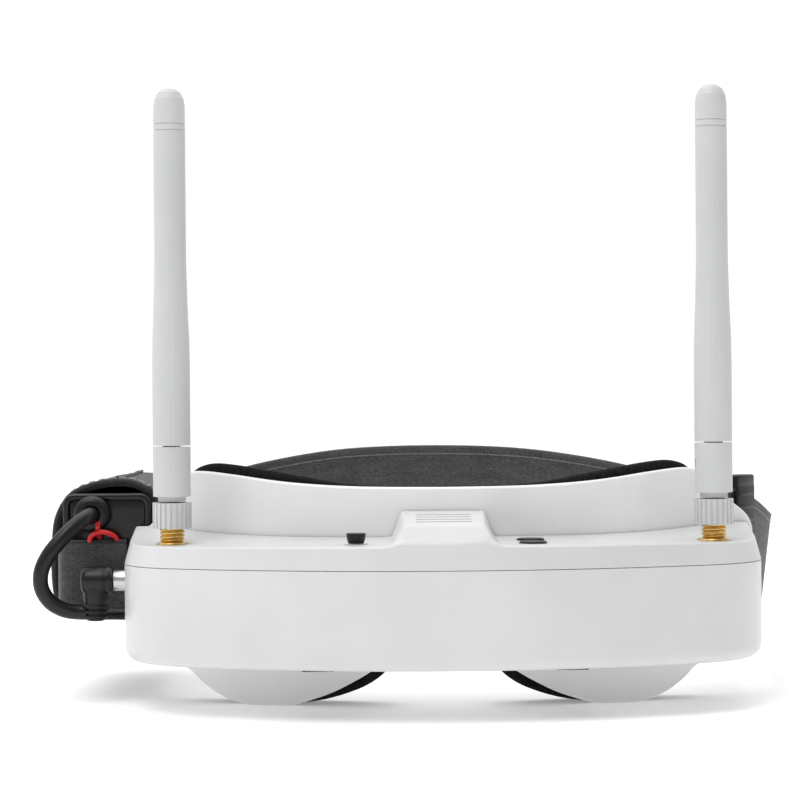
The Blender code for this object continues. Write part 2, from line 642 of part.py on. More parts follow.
def optics():
    for side, label in ((-1, "left"), (1, "right")):
        x = side * EYE_X
        housing = box(f"optics_housing_{label}", (x - 15.6 * MM, 12 * MM, EYE_Z - 10.5 * MM),
                      (x + 15.6 * MM, 32 * MM, EYE_Z + 10.2 * MM), "black",
                      pivot=(x, IPD_KNOB_Y, SHELL_BOTTOM))
        boolean(housing, box(f"housing_hollow_{label}",
                             (x - 14.3 * MM, 5 * MM, EYE_Z - 9.2 * MM),
                             (x + 14.3 * MM, 40 * MM, EYE_Z + 9.2 * MM)))
        boolean(housing, box(f"lever_slot_{label}",
                             (x - 2 * MM, FOCUS_LEVER_Y - 4.2 * MM, EYE_Z - 15 * MM),
                             (x + 2 * MM, FOCUS_LEVER_Y + 4.2 * MM, EYE_Z)))
        box(f"display_panel_{label}", (x - 14 * MM, 12.6 * MM, EYE_Z - 8.9 * MM),
            (x + 14 * MM, 14.6 * MM, EYE_Z + 8.9 * MM), "display")
        barrel = box(f"lens_barrel_{label}", (x - 13.9 * MM, 19 * MM, EYE_Z - 8.8 * MM),
                     (x + 13.9 * MM, 46 * MM, EYE_Z + 8.8 * MM), "black",
                     pivot=(x, FOCUS_LEVER_Y, EYE_Z))
        boolean(barrel, box(f"barrel_hollow_{label}",
                            (x - 12.7 * MM, 10 * MM, EYE_Z - 7.6 * MM),
                            (x + 12.7 * MM, 50 * MM, EYE_Z + 7.6 * MM)))
        lens(f"lens_{label}", x)
        knob = box(f"ipd_knob_{label}", (x - 4 * MM, IPD_KNOB_Y - 2.8 * MM, 12 * MM),
                   (x + 4 * MM, IPD_KNOB_Y + 2.8 * MM, 12.5 * MM), "black", bevel=0.15 * MM,
                   pivot=(x, IPD_KNOB_Y, SHELL_BOTTOM))
        boolean(knob, box(f"ipd_stem_{label}", (x - 1.8 * MM, IPD_KNOB_Y - 1.6 * MM, 12.2 * MM),
                          (x + 1.8 * MM, IPD_KNOB_Y + 1.6 * MM, 16.2 * MM)), "UNION")
        lever = box(f"focus_lever_{label}", (x - 3.4 * MM, FOCUS_LEVER_Y - 2.2 * MM, 11.2 * MM),
                    (x + 3.4 * MM, FOCUS_LEVER_Y + 2.2 * MM, 12.3 * MM), "black",
                    bevel=0.4 * MM, pivot=(x, FOCUS_LEVER_Y, EYE_Z))
        boolean(lever, box(f"lever_blade_{label}",
                           (x - 1.5 * MM, FOCUS_LEVER_Y - 1.2 * MM, 11.8 * MM),
                           (x + 1.5 * MM, FOCUS_LEVER_Y + 1.2 * MM, EYE_Z - 9.1 * MM)), "UNION")


def lens(name, x):
    """A lens with flat sides, bulging towards the eye: a grid raised as a shallow dome."""
    columns = 8
    rows = 6
    half_x = 12.4 * MM
    half_z = 7.3 * MM
    xs = [x - half_x + 2 * half_x * step / columns for step in range(columns + 1)]
    zs = [EYE_Z - half_z + 2 * half_z * step / rows for step in range(rows + 1)]

    def rear(px, pz):
        reach = ((px - x) / half_x) ** 2 + ((pz - EYE_Z) / half_z) ** 2
        return 43.6 * MM - 1.3 * MM * reach

    return slab(name, xs, zs, lambda px, pz: 38 * MM, rear, "glass")


def antennas():
    for side, label in ((-1, "left"), (1, "right")):
        x = side * ANTENNA_X
        y = ANTENNA_Y
        jack = [(0, 52.5), (2.9, 52.5), (3.17, 52.2), (3.17, 43.9), (4.1, 43.4), (4.1, 42.95),
                (3.3, 42.95), (3.3, 39.6), (0, 39.6)]
        turned(f"sma_jack_{label}", [(r * MM, z * MM) for r, z in jack], (x, y), "brass", 20)
        teeth = []
        for tooth in range(22):
            start = tooth * 360 / 22
            teeth += arc((x, y), 4.95 * MM, start, start + 8, 1)
            teeth += arc((x, y), 4.6 * MM, start + 9.5, start + 15, 1)
        bore = arc((x, y), 3.6 * MM, 0, 345, 23)
        prism(f"antenna_collar_{label}", [teeth, bore], COLLAR_BOTTOM, COLLAR_TOP, "Z",
              "antenna")
        base = turned(f"antenna_base_{label}", [
            (0, HINGE_GROOVE - 0.1 * MM), (ANTENNA_RADIUS, HINGE_GROOVE - 0.1 * MM),
            (ANTENNA_RADIUS, SWIVEL_GROOVE), (3.5 * MM, SWIVEL_GROOVE - 0.2 * MM),
            (3.5 * MM, COLLAR_TOP + 0.3 * MM), (0, COLLAR_TOP + 0.3 * MM)],
            (x, y), "antenna", 28, pivot=SWIVEL_GROOVE)
        boolean(base, box(f"fork_slot_{label}", (x - 2.3 * MM, y - 3.9 * MM, HINGE_PIN - 4 * MM),
                          (x + 2.3 * MM, y + 9 * MM, HINGE_PIN + 9 * MM)))
        knuckle = arc((y, HINGE_PIN), 5 * MM, 90, 0, 6)
        knuckle += [(y + 8 * MM, HINGE_PIN), (y + 8 * MM, HINGE_PIN + 8 * MM),
                    (y, HINGE_PIN + 8 * MM)]
        boolean(base, prism(f"knuckle_cut_{label}", [knuckle], x - 8 * MM, x + 8 * MM, "X"))
        boolean(base, rod(f"fork_bore_{label}", 1.3 * MM, (x - 9 * MM, y, HINGE_PIN),
                          (x + 9 * MM, y, HINGE_PIN), segments=14))
        rod(f"antenna_pin_{label}", 1 * MM, (x - 4.5 * MM, y, HINGE_PIN),
            (x + 4.5 * MM, y, HINGE_PIN), "steel", segments=14, pivot=(x, y, HINGE_PIN))
        antenna_stem(label, x, y)


def antenna_stem(label, x, y):
    drops = [(0, 0), (1.7, 0.3), (2.9, 1.2), (3.7, 2.7), (4.0, 4.6), (4.05, 9.0), (3.8, 9.2),
             (4.05, 9.4), (4.05, 10.6), (3.8, 10.8), (4.05, 11.0), (4.05, 44), (4.3, 54),
             (4.7, 64), (4.8, 70), (4.8, 90.7), (0, 90.7)]
    profile = [(r * MM, ANTENNA_TIP - drop * MM) for r, drop in drops]
    stem = turned(f"antenna_stem_{label}", profile, (x, y), "antenna", 24, pivot=HINGE_PIN)
    tongue = prism(f"tongue_{label}", [arc((y, HINGE_PIN), 3.4 * MM, 180, 360, 8) + [
        (y + 3.4 * MM, HINGE_GROOVE + 3 * MM), (y - 3.4 * MM, HINGE_GROOVE + 3 * MM)]],
        x - 2 * MM, x + 2 * MM, "X")
    boolean(stem, tongue, "UNION")
    boolean(stem, rod(f"tongue_bore_{label}", 1.3 * MM, (x - 9 * MM, y, HINGE_PIN),
                      (x + 9 * MM, y, HINGE_PIN), segments=14))


def jacks():
    inner = DC_JACK + Vector((2.3, 0, 0)) * MM
    jack = box("dc_jack", inner + Vector((0, -4.4, -4.4)) * MM,
               inner + Vector((11.5, 4.4, 4.4)) * MM, "black")
    boolean(jack, rod("dc_jack_rim", 3.8 * MM, DC_JACK, DC_JACK + Vector((4, 0, 0)) * MM),
            "UNION")
    boolean(jack, rod("dc_jack_bore", 3.05 * MM, DC_JACK - Vector((2, 0, 0)) * MM,
                      DC_JACK + Vector((9, 0, 0)) * MM))
    for name, z in AUDIO_JACKS:
        socket = box(name, (69 * MM, AUDIO_Y - 3 * MM, z - 3 * MM),
                     (79.7 * MM, AUDIO_Y + 3 * MM, z + 3 * MM), "black")
        boolean(socket, rod(name + "_rim", 2.8 * MM, (78 * MM, AUDIO_Y, z),
                            (82 * MM, AUDIO_Y, z), segments=20), "UNION")
        boolean(socket, rod(name + "_bore", 1.75 * MM, (71 * MM, AUDIO_Y, z),
                            (84 * MM, AUDIO_Y, z), segments=16))


def case_screws():
    for index, (x, y) in enumerate(SCREW_PLACES, 1):
        profile = [(0, 21), (0.95, 21), (0.95, 14.0), (2, 13.9), (2, 13.0), (0, 13.0)]
        turned(f"case_screw_{index}", [(r * MM, z * MM) for r, z in profile], (x, y), "steel", 12)


def head_strap():
    """An elastic band from lug to lug: plan points with the height of its top edge, and how
    far its top leans outwards past its middle."""
    stations = [
        (73.9, 61.5, 54, 0), (76.4, 65.6, 54, 0), (80.6, 71.2, 53.6, 0), (85.2, 77.9, 51.5, 0.6),
        (89.4, 87, 48, 1.2), (91.3, 97, 46.6, 1.4), (89.6, 109, 47.4, 1.2), (83, 122, 50.4, 0.8),
        (71, 134, 55, 0), (52, 143.4, 60.3, 0), (27, 148.8, 64.2, 0), (0, 150.6, 65.4, 0),
        (-27, 149.2, 64.6, 0), (-48, 144.2, 61.6, 0), (-63, 135.6, 58, 0),
        (-71, 124, 55, 0), (-73.6, 110, 54, 0), (-74, 95, 54, 0), (-74, 78, 54, 0),
        (-74, 61.5, 54, 0),
    ]
    route = smooth_route([(x * MM, y * MM, top * MM, lean * MM) for x, y, top, lean in stations],
                         3)
    bm = bmesh.new()
    pairs = []
    for index, point in enumerate(route):
        before = route[max(index - 1, 0)]
        after = route[min(index + 1, len(route) - 1)]
        outward = Vector((after.y - before.y, before.x - after.x)).normalized()
        lean = outward * point.w
        top = bm.verts.new((point.x + lean.x, point.y + lean.y, point.z))
        bottom = bm.verts.new((point.x - lean.x, point.y - lean.y, point.z - STRAP_WIDTH))
        pairs.append((top, bottom))
    for (top, bottom), (next_top, next_bottom) in zip(pairs, pairs[1:]):
        bm.faces.new((top, bottom, next_bottom, next_top))
    strap = new_object("head_strap", mesh_from(bm, "head_strap"), "strap")
    solid = strap.modifiers.new("thickness", "SOLIDIFY")
    solid.thickness = STRAP_THICKNESS
    solid.offset = 0
    solid.use_even_offset = True


def strap_slider():
    """A rectangular ring that the strap runs through."""
    middle = Vector((80.6, 71.2)) * MM
    slider = box("strap_slider", (-5 * MM, -2.6 * MM, 12.8 * MM), (5 * MM, 2.6 * MM, 58.2 * MM),
                 "black", bevel=0.6 * MM)
    slot = box("slider_slot", (-9 * MM, -1.5 * MM, 14.6 * MM), (9 * MM, 1.5 * MM, 54.8 * MM))
    turn = math.radians(55.5)
    for obj in (slider, slot):
        obj.rotation_euler.z = turn
        obj.location = (middle.x, middle.y, 0)
    boolean(slider, slot)


def battery():
    case = box("battery_case", CASE_LOW, CASE_HIGH, "black", bevel=2.5 * MM)
    wall = Vector((1.4, 0, 1.4)) * MM
    hollow_low = CASE_LOW + wall + Vector((0, -5 * MM, 0))
    hollow_high = CASE_HIGH - wall - Vector((0, 1.4 * MM, 0))
    boolean(case, box("case_front_trim", CASE_LOW - Vector((5, 5, 5)) * MM,
                      (CASE_HIGH.x + 5 * MM, CASE_LOW.y + 2.5 * MM, CASE_HIGH.z + 5 * MM)))
    boolean(case, box("case_hollow", hollow_low, hollow_high))
    cap_outline = rounded_rectangle((CASE_LOW.x, CASE_LOW.z), (CASE_HIGH.x, CASE_HIGH.z),
                                    2.5 * MM)
    gland_hole = arc((GLAND.x, GLAND.z), 3.8 * MM, 0, 345, 23)
    prism("battery_cap", [cap_outline, gland_hole], CASE_LOW.y - 2.1 * MM,
          CASE_LOW.y + 2.2 * MM, "Y", "black")
    gland = rod("cable_gland", 4.7 * MM, GLAND, GLAND + Vector((0, 2.3, 0)) * MM, "cable")
    boolean(gland, rod("gland_neck", 3.5 * MM, GLAND + Vector((0, 2, 0)) * MM,
                       GLAND + Vector((0, 7, 0)) * MM), "UNION")
    for index, x in enumerate((-98.6, -88.4), 1):
        box(f"battery_cell_{index}", (x * MM, 64 * MM, 25.4 * MM),
            ((x + 9.8) * MM, 127 * MM, 52.9 * MM), "cell", bevel=1 * MM)


def battery_pouch():
    section = [(-75.3, 50), (-76.1, 55.4), (-80.8, 58.4), (-86.4, 59.2), (-93, 58.4),
               (-99.9, 56), (-102.9, 50), (-104.2, 43.6), (-104.2, 33.4), (-102.8, 26.4),
               (-99.6, 22.6), (-95, 21.4), (-81, 21.4), (-75.3, 22.2)]
    outline = [(u * MM, v * MM) for u, v in section]
    pouch = prism("battery_pouch", [outline], 60.8 * MM, 133 * MM, "Y", "pouch")
    inner = rounded_rectangle((-100.8 * MM, 22.9 * MM), (-76.5 * MM, 55.3 * MM), 2.6 * MM)
    boolean(pouch, prism("pouch_hollow", [inner], 50 * MM, 131 * MM, "Y"))
    panel = rounded_rectangle((-102.4 * MM, 53 * MM), (-70 * MM, 95 * MM), 4 * MM)
    inside = rounded_rectangle((-101 * MM, 54.4 * MM), (-68 * MM, 99 * MM), 2.8 * MM)
    pocket = prism("pouch_pocket", [panel], 24.4 * MM, 42.4 * MM, "Z", "strap")
    boolean(pocket, prism("pocket_hollow", [inside], 20 * MM, 50 * MM, "Z"))
    boolean(pocket, box("pocket_trim_right", (-82.8 * MM, 40 * MM, 20 * MM),
                        (-60 * MM, 100 * MM, 50 * MM)))
    boolean(pocket, box("pocket_trim_rear", (-110 * MM, 60.5 * MM, 20 * MM),
                        (-60 * MM, 100 * MM, 50 * MM)))


def power_lead():
    route = smooth_route([Vector(p) * MM for p in CABLE_ROUTE], 3)
    tube("power_cable", route, CABLE_RADIUS, "cable")
    body_start = DC_JACK + Vector((-3.9, 0, 0)) * MM
    body_end = DC_JACK + Vector((-12, 0, 0)) * MM
    plug = rod("dc_plug", 3.75 * MM, body_start, body_end, "cable", segments=20)
    tail = tube("plug_tail", smooth_route([Vector(p) * MM for p in TAIL_ROUTE], 3), 3 * MM,
                None)
    boolean(plug, tail, "UNION")
    rod("plug_barrel", 2.75 * MM, DC_JACK + Vector((-3.6, 0, 0)) * MM,
        DC_JACK + Vector((5.6, 0, 0)) * MM, "steel", segments=20)
    red = smooth_route([Vector(p) * MM for p in RED_ROUTE], 3)
    tube("red_lead", red, 0.65 * MM, "red")


rear_zone = behind_plate()
front_shell(rear_zone)
top_cover(rear_zone)
face_plate()
optics_bezel()
face_foam()
controls()
boards()
fan()
optics()
antennas()
jacks()
case_screws()
head_strap()
strap_slider()
battery()
battery_pouch()
power_lead()
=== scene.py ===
"""FPV goggles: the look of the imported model, built on its frame."""

import math

import bmesh
import bpy
import numpy as np
from mathutils import Matrix, Vector, geometry, noise


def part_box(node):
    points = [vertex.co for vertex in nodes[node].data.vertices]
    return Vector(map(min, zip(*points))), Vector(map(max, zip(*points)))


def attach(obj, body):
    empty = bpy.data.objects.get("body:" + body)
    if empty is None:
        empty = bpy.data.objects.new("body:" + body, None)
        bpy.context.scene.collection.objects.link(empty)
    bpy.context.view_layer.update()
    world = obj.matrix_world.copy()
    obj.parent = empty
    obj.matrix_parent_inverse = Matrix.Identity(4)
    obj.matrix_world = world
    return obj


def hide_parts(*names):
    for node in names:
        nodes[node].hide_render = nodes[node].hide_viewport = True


MM = 0.001

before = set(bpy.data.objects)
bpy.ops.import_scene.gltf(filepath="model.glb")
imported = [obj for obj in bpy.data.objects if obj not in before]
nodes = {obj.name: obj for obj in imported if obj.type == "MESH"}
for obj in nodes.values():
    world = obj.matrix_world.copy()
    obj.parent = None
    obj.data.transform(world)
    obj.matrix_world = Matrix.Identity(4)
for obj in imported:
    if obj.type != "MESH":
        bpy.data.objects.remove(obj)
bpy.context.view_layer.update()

# Pieces are built in millimetres about the headset's mid-plane, its foremost point and the floor.
shell_low, shell_high = (Vector(corner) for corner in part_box("front_shell"))
ORIGIN = Vector(((shell_low.x + shell_high.x) / 2, shell_low.y, 0))
PLACE = Matrix.Translation(ORIGIN) @ Matrix.Scale(MM, 4)


def at(x, y, z):
    return PLACE @ Vector((x, y, z))


# ---------------------------------------------------------------- stage, light and camera
scene = bpy.context.scene
scene.view_settings.view_transform = "Standard"
scene.view_settings.look = "None"


def node(mat_or_world, kind, **settings):
    made = mat_or_world.node_tree.nodes.new(kind)
    for name, value in settings.items():
        setattr(made, name, value)
    return made


world = bpy.data.worlds.new("studio")
scene.world = world
world.use_nodes = True
ground = world.node_tree.nodes["Background"]
ground.inputs["Color"].default_value = (1, 1, 1, 1)
direction = node(world, "ShaderNodeTexCoord")
behind = node(world, "ShaderNodeVectorMath", operation="DOT_PRODUCT")
behind.inputs[1].default_value = (-0.45, 1, 0)
glow = node(world, "ShaderNodeMapRange")
glow.inputs["From Min"].default_value = -0.9
glow.inputs["From Max"].default_value = 0.8
glow.inputs["To Min"].default_value = 0.24
glow.inputs["To Max"].default_value = 1.03
world.node_tree.links.new(direction.outputs["Generated"], behind.inputs[0])
world.node_tree.links.new(behind.outputs["Value"], glow.inputs["Value"])
world.node_tree.links.new(glow.outputs["Result"], ground.inputs["Strength"])


def area_light(name, place, target, size, energy):
    data = bpy.data.lights.new(name, "AREA")
    data.shape = "SQUARE"
    data.size = size
    data.energy = energy
    lamp = bpy.data.objects.new(name, data)
    lamp.location = place
    lamp.rotation_euler = (Vector(target) - Vector(place)).to_track_quat("-Z", "Y").to_euler()
    scene.collection.objects.link(lamp)
    return lamp


area_light("overhead", (-0.2, -0.1, 1.5), (0, 0, 0), 1.6, 7.5)
area_light("key", (-0.5, -0.9, 1.5), (0, 0, 0.04), 0.9, 9.5)
sky = bpy.data.lights.new("sky", "SUN")
sky.energy = 0.7
sky.angle = math.radians(70)
sky_lamp = bpy.data.objects.new("sky", sky)
sky_lamp.rotation_euler = (math.radians(-12), 0, 0)
scene.collection.objects.link(sky_lamp)

bpy.ops.mesh.primitive_plane_add(size=30, location=(0, 0, 0))
floor = bpy.context.object
floor.name = "studio_floor"

camera_data = bpy.data.cameras.new("camera")
camera_data.sensor_width = 36
camera_data.lens = 112.5
camera_data.clip_start = 0.01
camera = bpy.data.objects.new("camera", camera_data)
camera.location = at(-10.7, -606, 79.1)
camera.rotation_euler = (Matrix.Rotation(math.radians(90), 4, "X")
                         @ Matrix.Rotation(math.radians(-0.45), 4, "Z")).to_euler()
scene.collection.objects.link(camera)
scene.camera = camera


# ---------------------------------------------------------------- materials
class Surface:
    """A node material, with short names for the steps the materials below share."""

    def __init__(self, name, colour, roughness, **inputs):
        self.mat = bpy.data.materials.new(name)
        self.mat.use_nodes = True
        self.tree = self.mat.node_tree
        self.shader = self.tree.nodes["Principled BSDF"]
        self.shader.inputs["Base Color"].default_value = (*colour, 1)
        self.shader.inputs["Roughness"].default_value = roughness
        for key, value in inputs.items():
            socket = key.replace("_", " ").title().replace("Ior", "IOR")
            self.shader.inputs[socket].default_value = value
        self.height = None
        self.place = node(self.mat, "ShaderNodeTexCoord")

    def link(self, out, into):
        self.tree.links.new(out, into)
        return into

    def coords(self, stretch=(1, 1, 1), kind="Object"):
        mapping = node(self.mat, "ShaderNodeMapping")
        mapping.inputs["Scale"].default_value = stretch
        self.link(self.place.outputs[kind], mapping.inputs["Vector"])
        return mapping.outputs["Vector"]

    def noise(self, scale, detail=3, stretch=(1, 1, 1), kind="Object", rough=0.5):
        texture = node(self.mat, "ShaderNodeTexNoise")
        texture.inputs["Scale"].default_value = scale
        texture.inputs["Detail"].default_value = detail
        texture.inputs["Roughness"].default_value = rough
        self.link(self.coords(stretch, kind), texture.inputs["Vector"])
        return texture.outputs["Fac"]

    def cells(self, scale, stretch=(1, 1, 1), kind="Object", feature="F1"):
        texture = node(self.mat, "ShaderNodeTexVoronoi", feature=feature)
        texture.inputs["Scale"].default_value = scale
        self.link(self.coords(stretch, kind), texture.inputs["Vector"])
        return texture.outputs["Distance"]

    def wave(self, scale, axis="X", kind="UV", distortion=0.0):
        texture = node(self.mat, "ShaderNodeTexWave", bands_direction=axis)
        texture.inputs["Scale"].default_value = scale
        texture.inputs["Distortion"].default_value = distortion
        self.link(self.coords((1, 1, 1), kind), texture.inputs["Vector"])
        return texture.outputs["Fac"]

    def maths(self, operation, first, second):
        made = node(self.mat, "ShaderNodeMath", operation=operation)
        for socket, value in zip(made.inputs, (first, second)):
            if isinstance(value, (int, float)):
                socket.default_value = value
            else:
                self.link(value, socket)
        return made.outputs[0]

    def ramp(self, factor, stops):
        made = node(self.mat, "ShaderNodeValToRGB")
        points = made.color_ramp.elements
        while len(points) < len(stops):
            points.new(0.5)
        for point, (position, colour) in zip(points, stops):
            point.position = position
            point.color = (*colour, 1) if len(colour) == 3 else (colour[0],) * 3 + (1,)
        self.link(factor, made.inputs["Fac"])
        return made.outputs["Color"]

    def colour(self, factor, stops):
        self.link(self.ramp(factor, stops), self.shader.inputs["Base Color"])
        return self

    def shine(self, factor, low, high):
        made = node(self.mat, "ShaderNodeMapRange")
        made.inputs["To Min"].default_value = low
        made.inputs["To Max"].default_value = high
        self.link(factor, made.inputs["Value"])
        self.link(made.outputs["Result"], self.shader.inputs["Roughness"])
        return self

    def bump(self, factor, distance, strength=1.0):
        made = node(self.mat, "ShaderNodeBump")
        made.inputs["Strength"].default_value = strength
        made.inputs["Distance"].default_value = distance
        self.link(factor, made.inputs["Height"])
        if self.height:
            self.link(self.height, made.inputs["Normal"])
        self.height = made.outputs["Normal"]
        self.link(self.height, self.shader.inputs["Normal"])
        return self


def moulded(name, colour, roughness, grain=2500, depth=0.00001, **inputs):
    """Moulded plastic: fine grain, slight mottling, and roughness that wanders."""
    surface = Surface(name, colour, roughness, **inputs)
    dark = tuple(c * 0.96 for c in colour)
    light = tuple(min(c * 1.03, 1) for c in colour)
    surface.colour(surface.noise(35, 4), [(0.35, dark), (0.65, light)])
    surface.shine(surface.noise(220, 5), roughness - 0.05, roughness + 0.07)
    surface.bump(surface.noise(grain, 2), depth)
    surface.bump(surface.noise(140, 2), depth * 1.5, 0.5)
    return surface


white = moulded("white_satin_plastic", (0.645, 0.65, 0.655), 0.34, coat_weight=0.12,
                coat_roughness=0.25)
# The face plate's white is lighter than the shell's white plastic: painted light that lifts the
# shade falling on the wall behind the ledge.
plate_white_painted_light = moulded("white_face_plate_painted_light", (0.84, 0.845, 0.85), 0.3, coat_weight=0.15,
                      coat_roughness=0.2)
antenna_white = moulded("white_antenna_sleeve", (0.56, 0.565, 0.57), 0.46, 3200, 0.000014)
black = moulded("black_moulding", (0.006, 0.006, 0.0065), 0.36, 1800, 0.00002,
                specular_ior_level=0.35)
matt_black = moulded("black_matt_panel", (0.016, 0.016, 0.017), 0.62, 1500, 0.00003)
gloss = moulded("black_gloss_case", (0.008, 0.008, 0.009), 0.22, 900, 0.000006,
                specular_ior_level=0.3, coat_weight=0.05, coat_roughness=0.06)
rubber = moulded("cable_rubber", (0.005, 0.005, 0.0055), 0.36, 2600, 0.000012,
                 specular_ior_level=0.35)
red = moulded("red_insulation", (0.62, 0.012, 0.012), 0.35)
cell_wrap = moulded("cell_foil", (0.33, 0.34, 0.36), 0.38, 700, 0.00003, metallic=0.6)


def metal(name, colour, roughness):
    surface = Surface(name, colour, roughness, metallic=1.0)
    dark = tuple(c * 0.75 for c in colour)
    surface.colour(surface.noise(500, 4, (1, 1, 12)), [(0.3, dark), (0.7, colour)])
    surface.shine(surface.noise(900, 3, (1, 1, 15)), roughness, roughness + 0.18)
    surface.bump(surface.noise(1600, 2, (1, 1, 20)), 0.000006)
    return surface


brass = metal("turned_brass", (0.83, 0.58, 0.22), 0.2)
steel = metal("turned_steel", (0.6, 0.6, 0.62), 0.24)

foam = Surface("foam_cloth", (0.008, 0.008, 0.008), 0.97, specular_ior_level=0.1)
foam.colour(foam.noise(900, 4), [(0.3, (0.004, 0.004, 0.004)), (0.7, (0.013, 0.013, 0.0135))])
foam.bump(foam.cells(1500), 0.00025)
foam.bump(foam.noise(260, 3), 0.0004, 0.6)


def heather(name, base, thread=1.0):
    """Woven elastic in UV metres: ribs along the band, crossing yarns, mixed grey fibres."""
    surface = Surface(name, base, 0.88, sheen_weight=0.3, sheen_roughness=0.4)
    fibres = surface.noise(1.0, 4, (800, 3600, 1), "UV", 0.65)
    patches = surface.noise(1.0, 3, (120, 500, 1), "UV")
    mixed = surface.maths("ADD", surface.maths("MULTIPLY", fibres, 0.75),
                          surface.maths("MULTIPLY", patches, 0.25))
    surface.colour(mixed, [(0.34, tuple(c * 0.45 for c in base)), (0.48, base),
                           (0.6, tuple(c * 1.6 for c in base)),
                           (0.72, tuple(c * 2.4 for c in base))])
    along = surface.wave(560 / thread, "Y")
    across = surface.wave(400 / thread, "X")
    surface.bump(surface.maths("MULTIPLY", along, across), 0.00014)
    surface.bump(fibres, 0.00008, 0.7)
    return surface


elastic = heather("heathered_elastic", (0.075, 0.076, 0.08))
elastic_inner = heather("heathered_pocket", (0.05, 0.051, 0.054), 0.8)
binding = heather("woven_binding", (0.02, 0.02, 0.021), 0.7)

cloth = Surface("pouch_cloth", (0.03, 0.03, 0.031), 0.92, sheen_weight=0.25, sheen_roughness=0.5)
cloth.colour(cloth.noise(1100, 5), [(0.3, (0.024, 0.024, 0.025)), (0.7, (0.07, 0.07, 0.072))])
cloth.bump(cloth.noise(1900, 4), 0.00014)
cloth.bump(cloth.noise(60, 3), 0.0009, 0.3)

thread = Surface("white_thread", (0.6, 0.6, 0.58), 0.7, sheen_weight=0.3)
thread.colour(thread.noise(2500, 3), [(0.3, (0.4, 0.4, 0.39)), (0.7, (0.72, 0.72, 0.7))])
thread.bump(thread.noise(4000, 2, (1, 6, 1)), 0.00005)
dark_thread = Surface("grey_thread", (0.05, 0.05, 0.052), 0.75)
dark_thread.colour(dark_thread.noise(2500, 3),
                   [(0.3, (0.03, 0.03, 0.03)), (0.7, (0.09, 0.09, 0.09))])
dark_thread.bump(dark_thread.noise(4000, 2, (1, 6, 1)), 0.00005)
light_cord = Surface("grey_selvedge", (0.16, 0.16, 0.165), 0.7, sheen_weight=0.3)
light_cord.colour(light_cord.noise(1800, 3), [(0.3, (0.1, 0.1, 0.1)), (0.7, (0.24, 0.24, 0.25))])
light_cord.bump(light_cord.noise(4000, 2), 0.00005)

board = Surface("circuit_board", (0.02, 0.15, 0.07), 0.4)
board.colour(board.cells(900, (1, 1, 1), feature="DISTANCE_TO_EDGE"),
             [(0.02, (0.09, 0.28, 0.12)), (0.08, (0.012, 0.1, 0.045))])
board.bump(board.noise(800, 2), 0.00003)

glass = Surface("lens_glass", (0.9, 0.92, 0.95), 0.02, transmission_weight=1.0, ior=1.49)
glass.shine(glass.noise(60, 3), 0.005, 0.05)
display = Surface("display_glass", (0.008, 0.008, 0.014), 0.05, coat_weight=0.6)
display.colour(display.noise(90, 2), [(0.3, (0.006, 0.006, 0.011)), (0.7, (0.014, 0.014, 0.024))])
display.shine(display.noise(120, 4), 0.03, 0.1)

paper = Surface("studio_paper", (0.93, 0.93, 0.93), 0.9)
paper.colour(paper.noise(3, 2), [(0.3, (0.925, 0.925, 0.925)), (0.7, (0.94, 0.94, 0.94))])
paper.shader.inputs["Emission Color"].default_value = (1, 1, 1, 1)
paper.shader.inputs["Emission Strength"].default_value = 0.24
floor.data.materials.append(paper.mat)

dress = {
    "front_shell": white, "top_cover": white, "face_plate": plate_white_painted_light,
    "sma_jack": brass, "antenna_collar": antenna_white, "antenna_base": antenna_white,
    "antenna_stem": antenna_white, "antenna_pin": steel, "joystick_plunger": steel,
    "joystick": black, "button": black, "main_board": board, "control_board": board,
    "receiver_board": board, "fan": black, "optics_housing": matt_black,
    "optics_bezel": matt_black, "lens_barrel": matt_black, "lens_left": glass,
    "lens_right": glass, "display_panel": display, "ipd_knob": black, "focus_lever": black,
    "dc_jack": black, "av_jack": black, "earphone_jack": black, "case_screw": steel,
    "strap_slider": black, "battery_case": gloss, "battery_cap": gloss, "cable_gland": rubber,
    "battery_cell": cell_wrap, "battery_pouch": cloth, "pouch_pocket": elastic_inner,
    "head_strap": elastic, "face_foam": foam, "power_cable": rubber, "dc_plug": rubber,
    "plug_barrel": steel, "red_lead": red,
}
for name, obj in nodes.items():
    match = max((key for key in dress if name.startswith(key)), key=len)
    obj.data.materials.clear()
    obj.data.materials.append(dress[match].mat)


# ---------------------------------------------------------------- mesh helpers
def piece(name, bm, surface, body="headset", replaces=(), slot=None, angle=38, merge=0.001):
    """Finish a bmesh built in millimetres as a piece that rides on a body."""
    if merge:
        bmesh.ops.remove_doubles(bm, verts=bm.verts, dist=merge)
    bmesh.ops.recalc_face_normals(bm, faces=bm.faces)
    bm.transform(PLACE)
    mesh = bpy.data.meshes.new(name)
    bm.to_mesh(mesh)
    bm.free()
    mesh.shade_smooth()
    mesh.set_sharp_from_angle(angle=math.radians(angle))
    obj = bpy.data.objects.new(name, mesh)
    scene.collection.objects.link(obj)
    mesh.materials.append(surface.mat)
    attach(obj, body)
    if replaces:
        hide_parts(*replaces)
    return obj


def arc(centre, radius, start, end, steps):
    points = []
    for step in range(steps + 1):
        angle = math.radians(start + (end - start) * step / steps)
        points.append((centre[0] + radius * math.cos(angle),
                       centre[1] + radius * math.sin(angle)))
    return points


def rounded(low, high, radius, steps=6):
    left, right = low[0] + radius, high[0] - radius
    bottom, top = low[1] + radius, high[1] - radius
    corners = (((right, top), 0), ((left, top), 90), ((left, bottom), 180), ((right, bottom), 270))
    points = []
    for centre, start in corners:
        points += arc(centre, radius, start, start + 90, steps)
    return points


def circle(x, y, radius, steps=40):
    return arc((x, y), radius, 0, 360 - 360 / steps, steps - 1)


